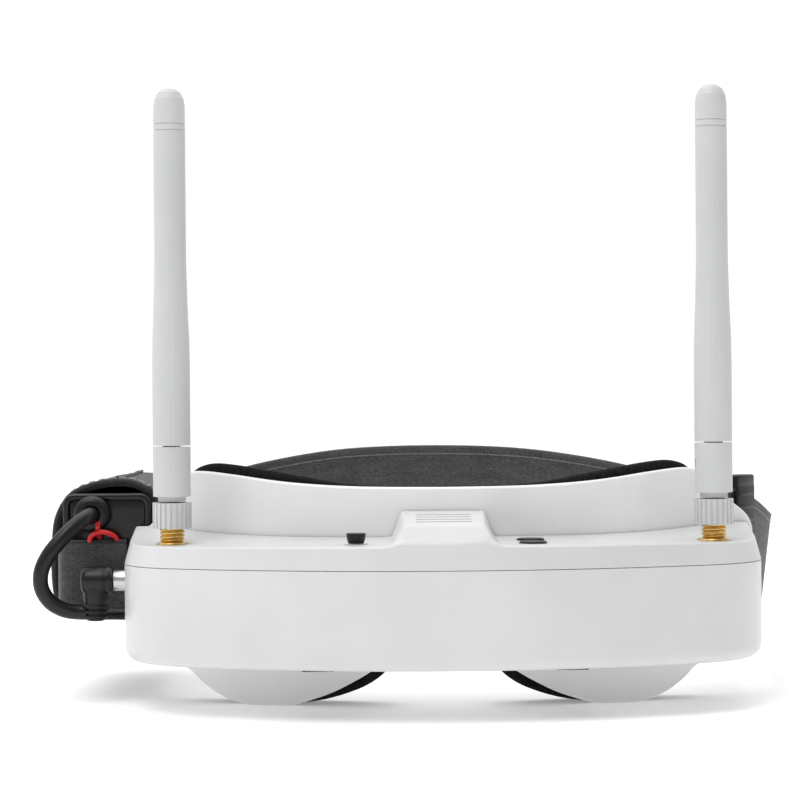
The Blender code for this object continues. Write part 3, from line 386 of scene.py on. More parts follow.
def through(points, per_span):
    """A Catmull-Rom curve through the points, of any dimension."""
    padded = [points[0]] + list(points) + [points[-1]]
    route = []
    for index in range(1, len(padded) - 2):
        before, start, end, after = (Vector(p) for p in padded[index - 1:index + 3])
        for step in range(per_span):
            t = step / per_span
            route.append(0.5 * (2 * start + (end - before) * t
                                + (2 * before - 5 * start + 4 * end - after) * t ** 2
                                + (3 * start - before - 3 * end + after) * t ** 3))
    route.append(Vector(points[-1]))
    return route


def even(points, spacing, closed=False):
    """The same line with evenly spaced points."""
    line = [Vector(p) for p in points]
    if closed:
        line.append(line[0])
    lengths = [0.0]
    for first, second in zip(line, line[1:]):
        lengths.append(lengths[-1] + (second - first).length)
    count = max(2, round(lengths[-1] / spacing))
    result = []
    index = 0
    for step in range(count if closed else count + 1):
        want = lengths[-1] * step / count
        while index < len(line) - 2 and lengths[index + 1] < want:
            index += 1
        span = lengths[index + 1] - lengths[index]
        t = (want - lengths[index]) / span if span else 0
        result.append(line[index].lerp(line[index + 1], t))
    return result


def inside(points, loop):
    """Which of the points (an n x 2 array) lie inside the loop."""
    edges = np.array([(p[0], p[1]) for p in loop])
    after = np.roll(edges, -1, axis=0)
    x = points[:, 0][:, None]
    y = points[:, 1][:, None]
    crosses = (edges[:, 1] > y) != (after[:, 1] > y)
    rise = np.where(after[:, 1] == edges[:, 1], 1e-12, after[:, 1] - edges[:, 1])
    at_x = edges[:, 0] + (y - edges[:, 1]) * (after[:, 0] - edges[:, 0]) / rise
    return (np.sum(crosses & (x < at_x), axis=1) % 2) == 1


def inset(loop, distance):
    """A closed loop moved inwards along its own normals."""
    count = len(loop)
    area = sum(loop[i][0] * loop[(i + 1) % count][1] - loop[(i + 1) % count][0] * loop[i][1]
               for i in range(count))
    turn = 1 if area > 0 else -1
    moved = []
    for i in range(count):
        along = Vector(loop[(i + 1) % count][:2]) - Vector(loop[i - 1][:2])
        along.normalize()
        shift = distance * turn
        moved.append((loop[i][0] - along.y * shift, loop[i][1] + along.x * shift))
    return moved


def fill(bm, outer, holes, spacing, lift, extra=()):
    """A triangulated sheet inside outer and outside the holes. lift(u, v) gives each point."""
    points = []
    edges = []
    for loop in [outer] + list(holes):
        first = len(points)
        points += [(p[0], p[1]) for p in loop]
        edges += [(first + i, first + (i + 1) % len(loop)) for i in range(len(loop))]
    lines = np.array(points)
    low = lines.min(axis=0)
    high = lines.max(axis=0)
    grid = [(u, v) for u in np.arange(low[0] + spacing / 2, high[0], spacing)
            for v in np.arange(low[1] + spacing / 2, high[1], spacing)]
    grid = np.array(grid + [tuple(p) for p in extra])
    keep = inside(grid, outer)
    for hole in holes:
        keep &= ~inside(grid, hole)
    grid = grid[keep]
    if len(grid):
        near = np.array([np.min(np.hypot(*(lines - p).T)) for p in grid])
        grid = grid[near > 0.3]
    everything = [Vector(p) for p in points] + [Vector((float(p[0]), float(p[1]))) for p in grid]
    flat, _, faces, _, _, _ = geometry.delaunay_2d_cdt(everything, edges, [], 0, 1e-5)
    centres = np.array([[sum(flat[i][axis] for i in face) / 3 for axis in (0, 1)]
                        for face in faces])
    keep = inside(centres, outer)
    for hole in holes:
        keep &= ~inside(centres, hole)
    verts = [bm.verts.new(lift(p.x, p.y)) for p in flat]
    for face, wanted in zip(faces, keep):
        if wanted:
            bm.faces.new([verts[i] for i in face])


def skin(bm, rows, closed=False):
    """Quads between rows of points that have the same length."""
    made = [[bm.verts.new(p) for p in row] for row in rows]
    for lower, upper in zip(made, made[1:]):
        count = len(lower)
        for i in range(count if closed else count - 1):
            bm.faces.new((lower[i], lower[(i + 1) % count], upper[(i + 1) % count], upper[i]))
    return made


def lathe(bm, profile, centre, axis="Z", steps=40):
    """A solid of revolution: profile is (radius, distance along the axis)."""
    rows = []
    for radius, along in profile:
        row = []
        for step in range(steps):
            angle = 2 * math.pi * step / steps
            u = radius * math.cos(angle)
            v = radius * math.sin(angle)
            offset = {"Z": (u, v, along), "Y": (u, along, v), "X": (along, u, v)}[axis]
            row.append(Vector(centre) + Vector(offset))
        rows.append(row)
    skin(bm, rows, closed=True)
    return bm


def slab_box(bm, low, high, bevel=0.3, segments=3):
    low = Vector(low)
    high = Vector(high)
    place = Matrix.Translation((low + high) / 2) @ Matrix.Diagonal((*(high - low), 1))
    made = bmesh.ops.create_cube(bm, size=1, matrix=place)
    lines = list({edge for vert in made["verts"] for edge in vert.link_edges})
    if bevel:
        bmesh.ops.bevel(bm, geom=lines, offset=bevel, segments=segments, profile=0.5,
                        affect="EDGES")


def pipe(bm, route, radius, sides=16, caps=True):
    """A tube along a route; radius is a number or a function of the share travelled."""
    route = [Vector(p) for p in route]
    last = None
    rows = []
    for index, point in enumerate(route):
        along = (route[min(index + 1, len(route) - 1)] - route[max(index - 1, 0)]).normalized()
        if last is None:
            side = along.orthogonal().normalized()
        else:
            side = (last - along * last.dot(along)).normalized()
        last = side
        other = along.cross(side)
        size = radius(index / (len(route) - 1)) if callable(radius) else radius
        rows.append([point + (side * math.cos(2 * math.pi * k / sides)
                              + other * math.sin(2 * math.pi * k / sides)) * size
                     for k in range(sides)])
    made = skin(bm, rows, closed=True)
    if caps:
        bm.faces.new(made[0])
        bm.faces.new(made[-1])


def stitches(name, line, surface, normal, length=2.4, gap=1.1, size=0.28, lift=0.1):
    """A row of sewn stitches along a line. normal(point) is the way the cloth faces."""
    bm = bmesh.new()
    spots = even(line, length + gap)
    for first, second in zip(spots, spots[1:]):
        along = (second - first).normalized()
        out = Vector(normal(first)).normalized()
        a = first + along * gap / 2
        b = first + along * (gap / 2 + length)
        middle = (a + b) / 2 + out * lift
        route = through([a - out * 0.15, a + out * lift, middle + out * 0.05, b + out * lift,
                         b - out * 0.15], 2)
        pipe(bm, route, size, 6)
    return piece(name, bm, surface, angle=80, merge=0)


# ---------------------------------------------------------------- shared forms
HALF = 82.0  # shell half width
FRONT_R = 150.0
CORNER_R = 26.5
REAR = 52.0
BOTTOM = 12.8
SEAM = 37.5
SEAM_GAP = 0.07  # half the gap between shell and cover
TURN = math.degrees(math.asin((HALF - CORNER_R) / (FRONT_R - CORNER_R)))
CORNER = (HALF - CORNER_R, FRONT_R - (FRONT_R - CORNER_R) * math.cos(math.radians(TURN)))
EYE_X = 31.5
EYE_Z = 27.0
ANTENNA = (68.8, 29.0)
JOYSTICK = (-21.9, 15.5)
BUTTONS = ((22.1, 15.0), (22.1, 28.3))
SCREWS = ((-64, 24), (64, 24), (-70, 43), (66, 40))


def shell_line(inward):
    """The shell's plan, from its left rear end round the front to its right rear end."""
    half = arc((0, FRONT_R), FRONT_R - inward, -90, -90 + TURN, 26)
    half += arc(CORNER, CORNER_R - inward, -90 + TURN, 0, 24)[1:]
    half.append((HALF - inward, REAR))
    return [(-x, y) for x, y in reversed(half[1:])] + half


def smooth_step(value):
    value = min(max(value, 0.0), 1.0)
    return value * value * (3 - 2 * value)


def plate_line(x):
    """Y of the face plate's front surface above the shell's floor."""
    side = min(abs(x) / 66.5, 1.2)
    return min(36 + 12.5 * side ** 3, 52.6)


def plate_y(x, z):
    bend = 0.9 * smooth_step((abs(x) - 34) / 12) * smooth_step((z - 44) / 8)
    return plate_line(x) + 0.2 * max(0.0, BOTTOM - z) + bend * smooth_step((66 - abs(x)) / 10)


def rear_line(inward):
    """The cover's rear edge, from right to left, just in front of the face plate."""
    edge = HALF - inward
    return [(x, min(REAR, plate_line(x) - 0.3)) for x in np.arange(edge - 1.5, -edge + 1.4, -1.5)]


def soft_min(a, b, blend):
    h = max(blend - abs(a - b), 0) / blend
    return min(a, b) - h * h * blend / 4


def ledge(x, y):
    return 43.35 - 0.5 * (x / 70) ** 2 + 0.0047 * max(0.0, y - 24) ** 2


def cover_top(x, y):
    """The cover's surface: the ledge, with the vent hump rising out of it."""
    base = ledge(x, y)
    roof = 48.5 + (y - 5) * 0.07
    half = 9.8 + (y - 5) * 0.03
    side = 42.8 + (13.4 - abs(x)) * (roof - 42.8) / (13.4 - half)
    front = 42.8 + (y - 0.8) * 5.7 / 4.2
    raised = soft_min(soft_min(side, front, 1.0), roof, 0.6)
    return -soft_min(-base, -raised, 1.6)


# ---------------------------------------------------------------- shell
def top_cover():
    bm = bmesh.new()
    radius = 0.7
    draft = 1.4
    rows = [[(x, y, SEAM + SEAM_GAP) for x, y in shell_line(2.2)],
            [(x, y, SEAM + SEAM_GAP) for x, y in shell_line(0.1)],
            [(x, y, SEAM + 0.17) for x, y in shell_line(0)]]
    for step in range(6):
        angle = math.radians(90 * step / 5)
        inward = draft + radius * (1 - math.cos(angle))
        drop = radius * (1 - math.sin(angle))
        rows.append([(x, y, cover_top(x, y) - drop) for x, y in shell_line(inward)])
    skin(bm, rows)
    outer = shell_line(draft + radius) + rear_line(draft + radius)
    holes = [circle(*JOYSTICK, 3.3)] + [circle(x, y, 4.0) for x, y in BUTTONS]
    holes += [circle(side * ANTENNA[0], ANTENNA[1], 4.25) for side in (-1, 1)]
    vents = [rounded((-7, 11 + 5 * index), (7, 12.1 + 5 * index), 0.5, 4) for index in range(4)]
    fine = [(x, y) for x in np.arange(-16.5, 16.6, 0.55) for y in np.arange(1.9, 37, 0.55)]
    fill(bm, outer, holes + vents, 2.4, lambda x, y: (x, y, cover_top(x, y)), fine)
    for loop in vents:
        down = [[(x, y, cover_top(x, y)) for x, y in loop],
                [(x, y, cover_top(x, y) - 1.8) for x, y in loop]]
        skin(bm, down, closed=True)
    for loop, chamfered in zip(holes, (3.1, 3.8, 3.8, 4.05, 4.05)):
        middle = (sum(p[0] for p in loop) / len(loop), sum(p[1] for p in loop) / len(loop))
        small = circle(*middle, chamfered)
        rows = [[(x, y, cover_top(x, y)) for x, y in loop],
                [(x, y, cover_top(x, y) - 0.25) for x, y in small]]
        if chamfered > 4:
            rows.append([(x, y, 42.6) for x, y in small])
            rows.append([(x, y, 42.6) for x, y in circle(*middle, 3.5)])
            rows.append([(x, y, 40) for x, y in circle(*middle, 3.5)])
        else:
            rows.append([(x, y, 41) for x, y in small])
        skin(bm, rows, closed=True)
    piece("cover_moulding", bm, white, replaces=["top_cover"], slot="white_shell")


def front_shell():
    bm = bmesh.new()
    radius = 3.6
    rows = [[(x, y, 34) for x, y in shell_line(2.2)],
            [(x, y, 34.4) for x, y in shell_line(2.6)],
            [(x, y, SEAM + 1.6) for x, y in shell_line(2.6)],
            [(x, y, SEAM + 1.6) for x, y in shell_line(2.3)],
            [(x, y, SEAM - SEAM_GAP) for x, y in shell_line(2.3)],
            [(x, y, SEAM - SEAM_GAP) for x, y in shell_line(0.1)],
            [(x, y, SEAM - 0.17) for x, y in shell_line(0)]]
    low = []
    for step in range(9):
        angle = math.radians(90 * step / 8)
        inward = radius * (1 - math.cos(angle))
        low.append([(x, y, BOTTOM + radius * (1 - math.sin(angle))) for x, y in shell_line(inward)])
    skin(bm, rows)
    skin(bm, low)
    upper = rows[-1]
    lower = low[0]
    skin(bm, [upper[1:-1], lower[1:-1]])
    jack_holes = {-1: [circle(45, 32.7, 4.1)], 1: [circle(45, 31, 3.3), circle(45, 22, 3.3)]}
    for side, holes in jack_holes.items():
        outer = [(CORNER[1], lower[0][2]), (REAR, lower[0][2]), (REAR, upper[0][2]),
                 (CORNER[1], upper[0][2])]
        fill(bm, outer, holes, 2.5, lambda y, z: (side * HALF, y, z))
        for loop in holes:
            skin(bm, [[(side * HALF, y, z) for y, z in loop],
                      [(side * (HALF - 3), y, z) for y, z in loop]], closed=True)
    outer = shell_line(radius) + rear_line(radius)
    holes = []
    for side in (-1, 1):
        x = side * EYE_X
        holes.append(rounded((x - 7, 12.3), (x + 7, 16.7), 2))
        holes.append(rounded((x - 6.7, 19.8), (x + 6.7, 28.6), 1.5))
    holes += [circle(x, y, 2.3, 24) for x, y in SCREWS]
    fill(bm, outer, holes, 3, lambda x, y: (x, y, BOTTOM))
    for loop in holes:
        skin(bm, [[(x, y, BOTTOM) for x, y in loop], [(x, y, BOTTOM + 2) for x, y in loop]],
             closed=True)
    piece("shell_moulding", bm, white, replaces=["front_shell"], slot="white_shell")


PLATE_BROW = ((0, 56.6), (22, 56.9), (40, 58.1), (54, 60), (62, 60.9), (66, 60.6))
PLATE_SHOULDERS = {
    1: ((69.5, 59), (72.5, 56), (76, 52.2), (80, 48.8), (81.6, 46), (82, 42)),
    -1: ((69, 59), (71.3, 55.8), (73.5, 51.4), (76, 47.4), (79, 45), (82, 42))}
PLATE_LOWER = (
    (82, 20), (80, 14.5), (72, 10.8), (69, 10), (66, 8.6), (62.9, 5.6), (57.6, 2.2), (51.5, 0.2),
    (47.5, 0), (41, 0), (39, 0.25), (35, 1.4), (28.7, 3.7), (22.3, 7), (18.4, 9.4), (14, 12.2),
    (8, 13.9), (0, 14.6))
FOAM_HALF = (
    (0, 56.2), (22, 57.0), (40, 60.0), (54, 62.3), (61, 62.6), (65.4, 60.6), (67.8, 56), (68.2, 48),
    (68.2, 20), (66, 10.5), (60, 5.2), (52, 1.2), (47, 0), (43, 0), (39, 0), (30, 1.4),
    (21.5, 4.2), (16, 7.6), (13, 11.5), (13, 13.6), (16, 14.2), (50, 14), (56, 17.5), (58, 24),
    (57.5, 36), (53, 42), (44, 44), (20, 43), (0, 43))


def closed_outline(right, left, spacing):
    """A closed loop through two halves, each given outwards from the mid-plane."""
    loop = [(p[0], max(p[1], 0.0)) for p in through(right, 6)]
    loop += [(-p[0], max(p[1], 0.0)) for p in reversed(through(left, 6)[1:-1])]
    return [(p.x, p.y) for p in even(loop, spacing, closed=True)]


def curved_panel(bm, outer, holes, depth, radius, front, spacing):
    """A plate over the (x, z) outline with rounded edges; front(x, z) is its front surface."""
    steps = 6
    for loop, turn in [(outer, 1)] + [(hole, -1) for hole in holes]:
        rows = []
        for back in (False, True):
            order = range(steps + 1) if back else range(steps, -1, -1)
            for step in order:
                angle = math.radians(90 * step / steps)
                inward = radius * (1 - math.cos(angle))
                drop = radius * (1 - math.sin(angle))
                ring = inset(loop, inward * turn)
                y_of = (lambda x, z: front(x, z) + depth - drop) if back else (
                    lambda x, z: front(x, z) + drop)
                rows.append([(x, y_of(x, z), z) for x, z in ring])
        skin(bm, rows, closed=True)
    inner = inset(outer, radius)
    gaps = [inset(hole, -radius) for hole in holes]
    fill(bm, inner, gaps, spacing, lambda x, z: (x, front(x, z), z))
    fill(bm, inner, gaps, spacing, lambda x, z: (x, front(x, z) + depth, z))


def face_plate():
    bm = bmesh.new()
    right, left = (PLATE_BROW + PLATE_SHOULDERS[side] + PLATE_LOWER for side in (1, -1))
    outline = closed_outline(right, left, 1.1)
    windows = [rounded((side * EYE_X - 19, EYE_Z - 9.6), (side * EYE_X + 19, EYE_Z + 9.6), 1.4)
               for side in (-1, 1)]
    curved_panel(bm, outline, windows, 3.0, 0.8, plate_y, 2.2)
    for side in (-1, 1):
        loop = rounded((51.5, 14.5), (68.5, 56.5), 2.5)
        slot = rounded((60, 17), (65.5, 54.5), 1.5)
        for edge in (70.4, 72.8):
            fill(bm, inset(loop, 0.4), [inset(slot, -0.4)], 2.5,
                 lambda y, z, edge=edge: (side * edge, y, z))
        for ring, turn in ((loop, 1), (slot, -1)):
            rows = [[(side * 70.4, y, z) for y, z in inset(ring, 0.4 * turn)],
                    [(side * 70.8, y, z) for y, z in ring],
                    [(side * 72.4, y, z) for y, z in ring],
                    [(side * 72.8, y, z) for y, z in inset(ring, 0.4 * turn)]]
            skin(bm, rows, closed=True)
    piece("face_plate_moulding", bm, plate_white_painted_light, replaces=["face_plate"], slot="white_plate")


def face_foam():
    bm = bmesh.new()
    outline = closed_outline(FOAM_HALF, FOAM_HALF, 1.0)

    def front(x, z):
        return plate_line(x) + 0.2 * max(0.0, BOTTOM - z) + 3.3

    curved_panel(bm, outline, [], 12.2, 3.2, front, 2.0)
    for vert in bm.verts:
        depth = (vert.co.y - front(vert.co.x, vert.co.z)) / 12.2
        swell = noise.noise(vert.co * 0.09) * 0.5 + noise.noise(vert.co * 0.3) * 0.18
        vert.co.y += swell * depth
        vert.co.z = max(vert.co.z, 0.0)
    obj = piece("foam_pad", bm, foam, replaces=["face_foam"], slot="foam", angle=60)
    edge = inset(outline, 1.2)
    line = [(x, front(x, z) + 2.2, z) for x, z in edge]
    bm = bmesh.new()
    pipe(bm, [Vector(p) for p in even(line + line[:1], 1.6)], 0.55, 8, caps=False)
    piece("foam_edge_seam", bm, binding, slot="foam", angle=70, merge=0)


# ---------------------------------------------------------------- strap
def band(name, stations, width, thickness, surface, per_span=6, **finish):
    """A woven band along (x, y, top z, lean) stations, with thicker woven edges and UVs."""
    route = through(stations, per_span)
    bm = bmesh.new()
    uv_layer = bm.loops.layers.uv.new("UVMap")
    across = [0.0, 0.012, 0.03, 0.06] + [0.06 + 0.88 * k / 9 for k in range(1, 10)]
    across += [0.97, 0.988, 1.0]
    rows = []
    travelled = 0.0
    for index, point in enumerate(route):
        before = route[max(index - 1, 0)]
        after = route[min(index + 1, len(route) - 1)]
        along = Vector((after.x - before.x, after.y - before.y)).normalized()
        out = Vector((along.y, -along.x))
        if index:
            travelled += (Vector(point[:3]) - Vector(before[:3])).length
        ring = []
        for face in (1, -1):
            for share in (across if face == 1 else reversed(across)):
                edge = min(share, 1 - share) * width
                half = thickness / 2 * (1.0 if edge > 1.6 else 1.22)
                if edge < 0.5:
                    half *= math.sqrt(max(0.0, 1 - (1 - edge / 0.5) ** 2)) * 0.9 + 0.1
                lean = point[3] * (1 - 2 * share)
                shift = out * (lean + face * half)
                place = Vector((point.x + shift.x, point.y + shift.y, point.z - share * width))
                ring.append((bm.verts.new(place), (travelled * MM, share * width * MM)))
        rows.append(ring)
    for lower, upper in zip(rows, rows[1:]):
        count = len(lower)
        for k in range(count):
            after = (k + 1) % count
            corners = (lower[k], lower[after], upper[after], upper[k])
            face = bm.faces.new([corner[0] for corner in corners])
            for loop, corner in zip(face.loops, corners):
                loop[uv_layer].uv = corner[1]
    for ring in (rows[0], rows[-1]):
        face = bm.faces.new([corner[0] for corner in ring])
        for loop, corner in zip(face.loops, ring):
            loop[uv_layer].uv = corner[1]
    return piece(name, bm, surface, angle=75, merge=0, **finish)


STRAP_STATIONS = (
    (86.7, 84.4, 49.0, 0.9), (83.9, 78.7, 51.2, 0.5), (79.9, 73.3, 53.4, 0.1),
    (75.6, 71.3, 54, 0), (71.2, 70.3, 54, 0), (69.4, 67.6, 54, 0), (69.7, 64.2, 54, 0),
    (71.6, 62.6, 54, 0), (73.9, 63.6, 54, 0), (76.4, 66.2, 54, 0), (80.6, 71.2, 53.6, 0),
    (85.0, 77.9, 51.5, 0.9), (88.7, 87, 48, 1.9), (90.4, 97, 46.6, 2.2), (88.8, 109, 47.4, 1.9),
    (83, 122, 50.4, 0.8), (71, 134, 55, 0), (52, 143.4, 60.3, 0), (27, 148.8, 64.2, 0),
    (0, 150.4, 65.4, 0), (-27, 149.2, 64.6, 0), (-48, 144.2, 61.6, 0), (-63, 135.6, 58, 0),
    (-71, 124, 55, 0), (-73.6, 110, 54, 0), (-74, 95, 54, 0), (-74, 78, 54, 0),
    (-73.9, 68, 54, 0), (-73.3, 64, 54, 0), (-71.6, 62.6, 54, 0), (-69.7, 64.2, 54, 0),
    (-69.6, 67.8, 54, 0), (-71, 71.2, 54, 0), (-72.4, 75.4, 54, 0), (-72.6, 82, 54, 0),
    (-72.6, 89, 54, 0))


def head_strap():
    strap = band("woven_strap", STRAP_STATIONS, 37, 1.15, elastic, replaces=["head_strap"],
                 slot="elastic")
    outer = through(STRAP_STATIONS[9:28], 8)
    for drop, label in ((2.6, "upper"), (34.4, "lower")):
        for side, face in ((1, "outer"), (-1, "inner")):
            line = []
            for index, point in enumerate(outer):
                before = outer[max(index - 1, 0)]
                after = outer[min(index + 1, len(outer) - 1)]
                along = Vector((after.x - before.x, after.y - before.y)).normalized()
                out = Vector((along.y, -along.x)) * (
                    point[3] * (1 - 2 * drop / 37) + side * 0.56)
                line.append((point.x + out.x, point.y + out.y, point.z - drop))
            bm = bmesh.new()
            pipe(bm, even(line, 2.2), 0.22, 6)
            piece(f"strap_{label}_cord_{face}", bm, light_cord, slot="elastic", angle=80, merge=0)
    for side, label in ((-1, "left"), (1, "right")):
        spot = STRAP_STATIONS[34]
        for shift, row in ((0, "near"), (3.4, "far")):
            if side < 0:
                line = [(-74.62, spot[1] - shift, 19.5), (-74.62, spot[1] - shift, 51.5)]
                sew = [(-71.98, y, z) for x, y, z in line]
                stitches(f"strap_sewing_{label}_{row}", sew, dark_thread, lambda p: (1, 0, 0))
            else:
                middle = Vector((83.9, 78.7, 0)) + Vector((0.53, 0.85, 0)) * shift
                inner = middle + Vector((-0.85, 0.53, 0)) * 0.62
                line = [(inner.x, inner.y, 16.5), (inner.x, inner.y, 48.5)]
                stitches(f"strap_sewing_{label}_{row}", line, dark_thread,
                         lambda p: (-0.85, 0.53, 0))


def strap_slider():
    """A moulded frame with rounded corners and a grooved face, on the strap's right side."""
    bm = bmesh.new()
    low, high = 14.7, 54.7
    for v_low, v_high in ((12.8, low), (high, 58.2)):
        slab_box(bm, (-5, -2.6, v_low), (5, 2.6, v_high), 0.6)
    for y_low, y_high in ((-2.6, -1.55), (1.55, 2.6)):
        slab_box(bm, (-5, y_low, low - 0.8), (5, y_high, high + 0.8), 0.35)
    for rib in range(11):
        z = 17.5 + rib * 3.5
        slab_box(bm, (-4.2, -2.75, z), (4.2, -2.3, z + 1.2), 0.15, 2)
    turn = Matrix.Translation((80.6, 71.2, 0)) @ Matrix.Rotation(math.radians(55.5), 4, "Z")
    bm.transform(turn)
    piece("slider_moulding", bm, black, replaces=["strap_slider"], slot="black_plastic", merge=0)


# ---------------------------------------------------------------- battery, pouch and pocket
CASE_LOW = (-100.3, 58.2, 23.4)
CASE_HIGH = (-76.9, 130.0, 54.9)
GLAND = (-92.4, 53.6, 49.5)
POUCH_SECTION = (
    (-75.4, 36), (-75.5, 50), (-77.2, 55.6), (-80.8, 58.3), (-86.4, 59.1), (-93, 58.2),
    (-99.2, 55.4), (-102.8, 50), (-104.0, 43.6), (-104.0, 33.4), (-102.8, 26.4), (-99.6, 22.6),
    (-95, 21.5), (-88, 21.4), (-81, 21.5), (-76.3, 22.6))


def pouch_ring(y, grow):
    loop = through(list(POUCH_SECTION) + [POUCH_SECTION[0]], 5)[:-1]
    loop = [(p[0], p[1]) for p in loop]
    ring = []
    for x, z in inset(loop, -grow):
        crease = noise.noise(Vector((x * 0.05, y * 0.07, z * 0.06))) * 0.7
        middle = Vector((-89.5 - x, 0, 40 - z)).normalized()
        if x < -77.5:
            x += middle.x * (crease + 0.5)
            z += middle.z * (crease + 0.5) * (1 if z > 25 else 0.3)
        ring.append((max(min(x, -75.2), -104.4), y, z))
    return ring


def battery_pouch():
    bm = bmesh.new()
    uv_layer = bm.loops.layers.uv.new("UVMap")
    rows = []
    for y in np.arange(74, 60.7, -3.0):
        rows.append(pouch_ring(float(y), -1.3))
    rows.append(pouch_ring(60.85, -1.1))
    rows.append(pouch_ring(60.6, -0.6))
    rows.append(pouch_ring(60.85, -0.1))
    for y in np.arange(61.5, 127, 1.6):
        rows.append(pouch_ring(float(y), 0.0))
    for step in range(1, 9):
        angle = math.radians(90 * step / 8)
        rows.append(pouch_ring(127 + 5.6 * math.sin(angle), -5.6 * (1 - math.cos(angle))))
    made = skin(bm, rows, closed=True)
    centre = bm.verts.new((-89.5, 133.0, 40))
    last = made[-1]
    for k in range(len(last)):
        bm.faces.new((last[k], last[(k + 1) % len(last)], centre))
    for face in bm.faces:
        for loop in face.loops:
            x, y, z = loop.vert.co
            angle = math.atan2(z - 40, x + 89.5)
            loop[uv_layer].uv = (y * MM, angle * 17 * MM)
    obj = piece("pouch_sleeve", bm, cloth, replaces=["battery_pouch"], slot="pouch_fabric",
                angle=75)
    tape = bmesh.new()
    uv_layer = tape.loops.layers.uv.new("UVMap")
    rows = []
    for y, grow in ((64.2, 0.05), (64.1, 0.4), (62.6, 0.5), (61.0, 0.45), (60.3, 0.1),
                    (60.2, -0.5), (60.4, -1.1), (61.4, -1.6), (63.0, -1.6)):
        rows.append(pouch_ring(y, grow))
    skin(tape, rows, closed=True)
    for face in tape.faces:
        for loop in face.loops:
            x, y, z = loop.vert.co
            loop[uv_layer].uv = (y * MM, math.atan2(z - 40, x + 89.5) * 17 * MM)
    piece("pouch_binding", tape, binding, slot="pouch_fabric", angle=75)
    top = [p for p in pouch_ring(63.1, 0.55) if p[2] > 47 or p[0] < -101]
    top.sort(key=lambda p: math.atan2(p[2] - 40, p[0] + 89.5) % (2 * math.pi))
    stitches("pouch_edge_stitches", top, thread,
             lambda p: (p.x + 89.5, 0, p.z - 40), length=1.5, gap=1.3, size=0.16)
    for index, label in ((20, "top"), (50, "bottom")):
        seam = [Vector(pouch_ring(float(y), 0.35)[index]) for y in np.arange(64.5, 127, 1.6)]
        bm = bmesh.new()
        pipe(bm, seam, 0.5, 8)
        piece(f"pouch_{label}_seam", bm, binding, slot="pouch_fabric", angle=75, merge=0)


def pouch_pocket():
    """Grey elastic wrapped round the pouch's front end, with a turned edge."""
    plan = [(-100.8, 60.4), (-101.0, 57), (-100.0, 54.4), (-97.8, 53.4), (-94, 53.3), (-88, 53.6),
            (-83.2, 54.2)]
    stations = [(x, y, 42.6 - 0.5 * abs(i - 3) / 3, 0.0) for i, (x, y) in enumerate(plan)]
    pocket = band("pocket_elastic", stations, 18.1, 1.3, elastic_inner, per_span=5,
                  replaces=["pouch_pocket"], slot="elastic")
    route = through(plan, 5)
    for z, label in ((42.1, "upper"), (24.9, "lower")):
        line = [(x, y - 0.1, z) for x, y in plan]
        bm = bmesh.new()
        pipe(bm, through([Vector(p) for p in line], 5), 0.75, 8)
        piece(f"pocket_{label}_edge", bm, binding, slot="elastic", angle=75, merge=0)
    bm = bmesh.new()
    pipe(bm, [(-101.2, 58.0, z) for z in (26, 28, 32, 36, 40, 41.6)], 0.5, 10)
    piece("pocket_piping", bm, light_cord, slot="elastic", angle=75, merge=0)


def battery_case():
    bm = bmesh.new()
    outer = rounded((CASE_LOW[0], CASE_LOW[2]), (CASE_HIGH[0], CASE_HIGH[2]), 3.2, 7)
    window = inset(outer, 1.9)
    curved_panel(bm, outer, [window], 4.2, 0.7, lambda x, z: 56.2, 3.0)
    curved_panel(bm, inset(outer, 1.3), [], 2.6, 0.3, lambda x, z: 57.2, 3.0)
    piece("case_end_cap", bm, gloss, replaces=["battery_cap"], slot="black_gloss")
    profile = [(0.01, 53.5), (2.05, 53.4), (2.5, 52.9), (3.3, 52.9), (4.2, 53.3), (4.75, 54.0),
               (4.85, 54.7), (4.55, 55.0), (4.55, 55.3), (4.85, 55.6), (4.85, 56.0), (4.4, 56.3),
               (3.5, 57.0), (0.01, 57.0)]
    bm = lathe(bmesh.new(), profile, (GLAND[0], 0, GLAND[2]), "Y")
    piece("gland_moulding", bm, rubber, replaces=["cable_gland"], slot="cable_rubber")


# ---------------------------------------------------------------- power lead
CABLE_ROUTE = ((-92.4, 53.2, 49.5), (-92.6, 50, 49.4), (-93.8, 46.6, 48.5),
               (-96.3, 43.8, 46.3), (-99.2, 42, 43.2), (-102, 41.1, 39.6),
               (-103.9, 40.9, 35.4), (-103.9, 41.3, 31.1), (-101.8, 42.4, 27.4),
               (-98.6, 43.8, 25.3), (-95.4, 44.8, 24.6), (-92.6, 45, 24.5))
RED_LOOP = ((-92.9, 53.4, 41.5), (-92.6, 52.7, 43.4), (-91.3, 52.1, 44.6), (-89.4, 51.9, 44.95),
            (-87.2, 52.4, 44.4), (-85.8, 53.6, 43.1), (-85.4, 54.8, 40.5))
RED_STUB = ((-90.6, 53.2, 47.4), (-90.6, 52.8, 46.3), (-90.5, 53.2, 45), (-90.3, 54.4, 43.4))


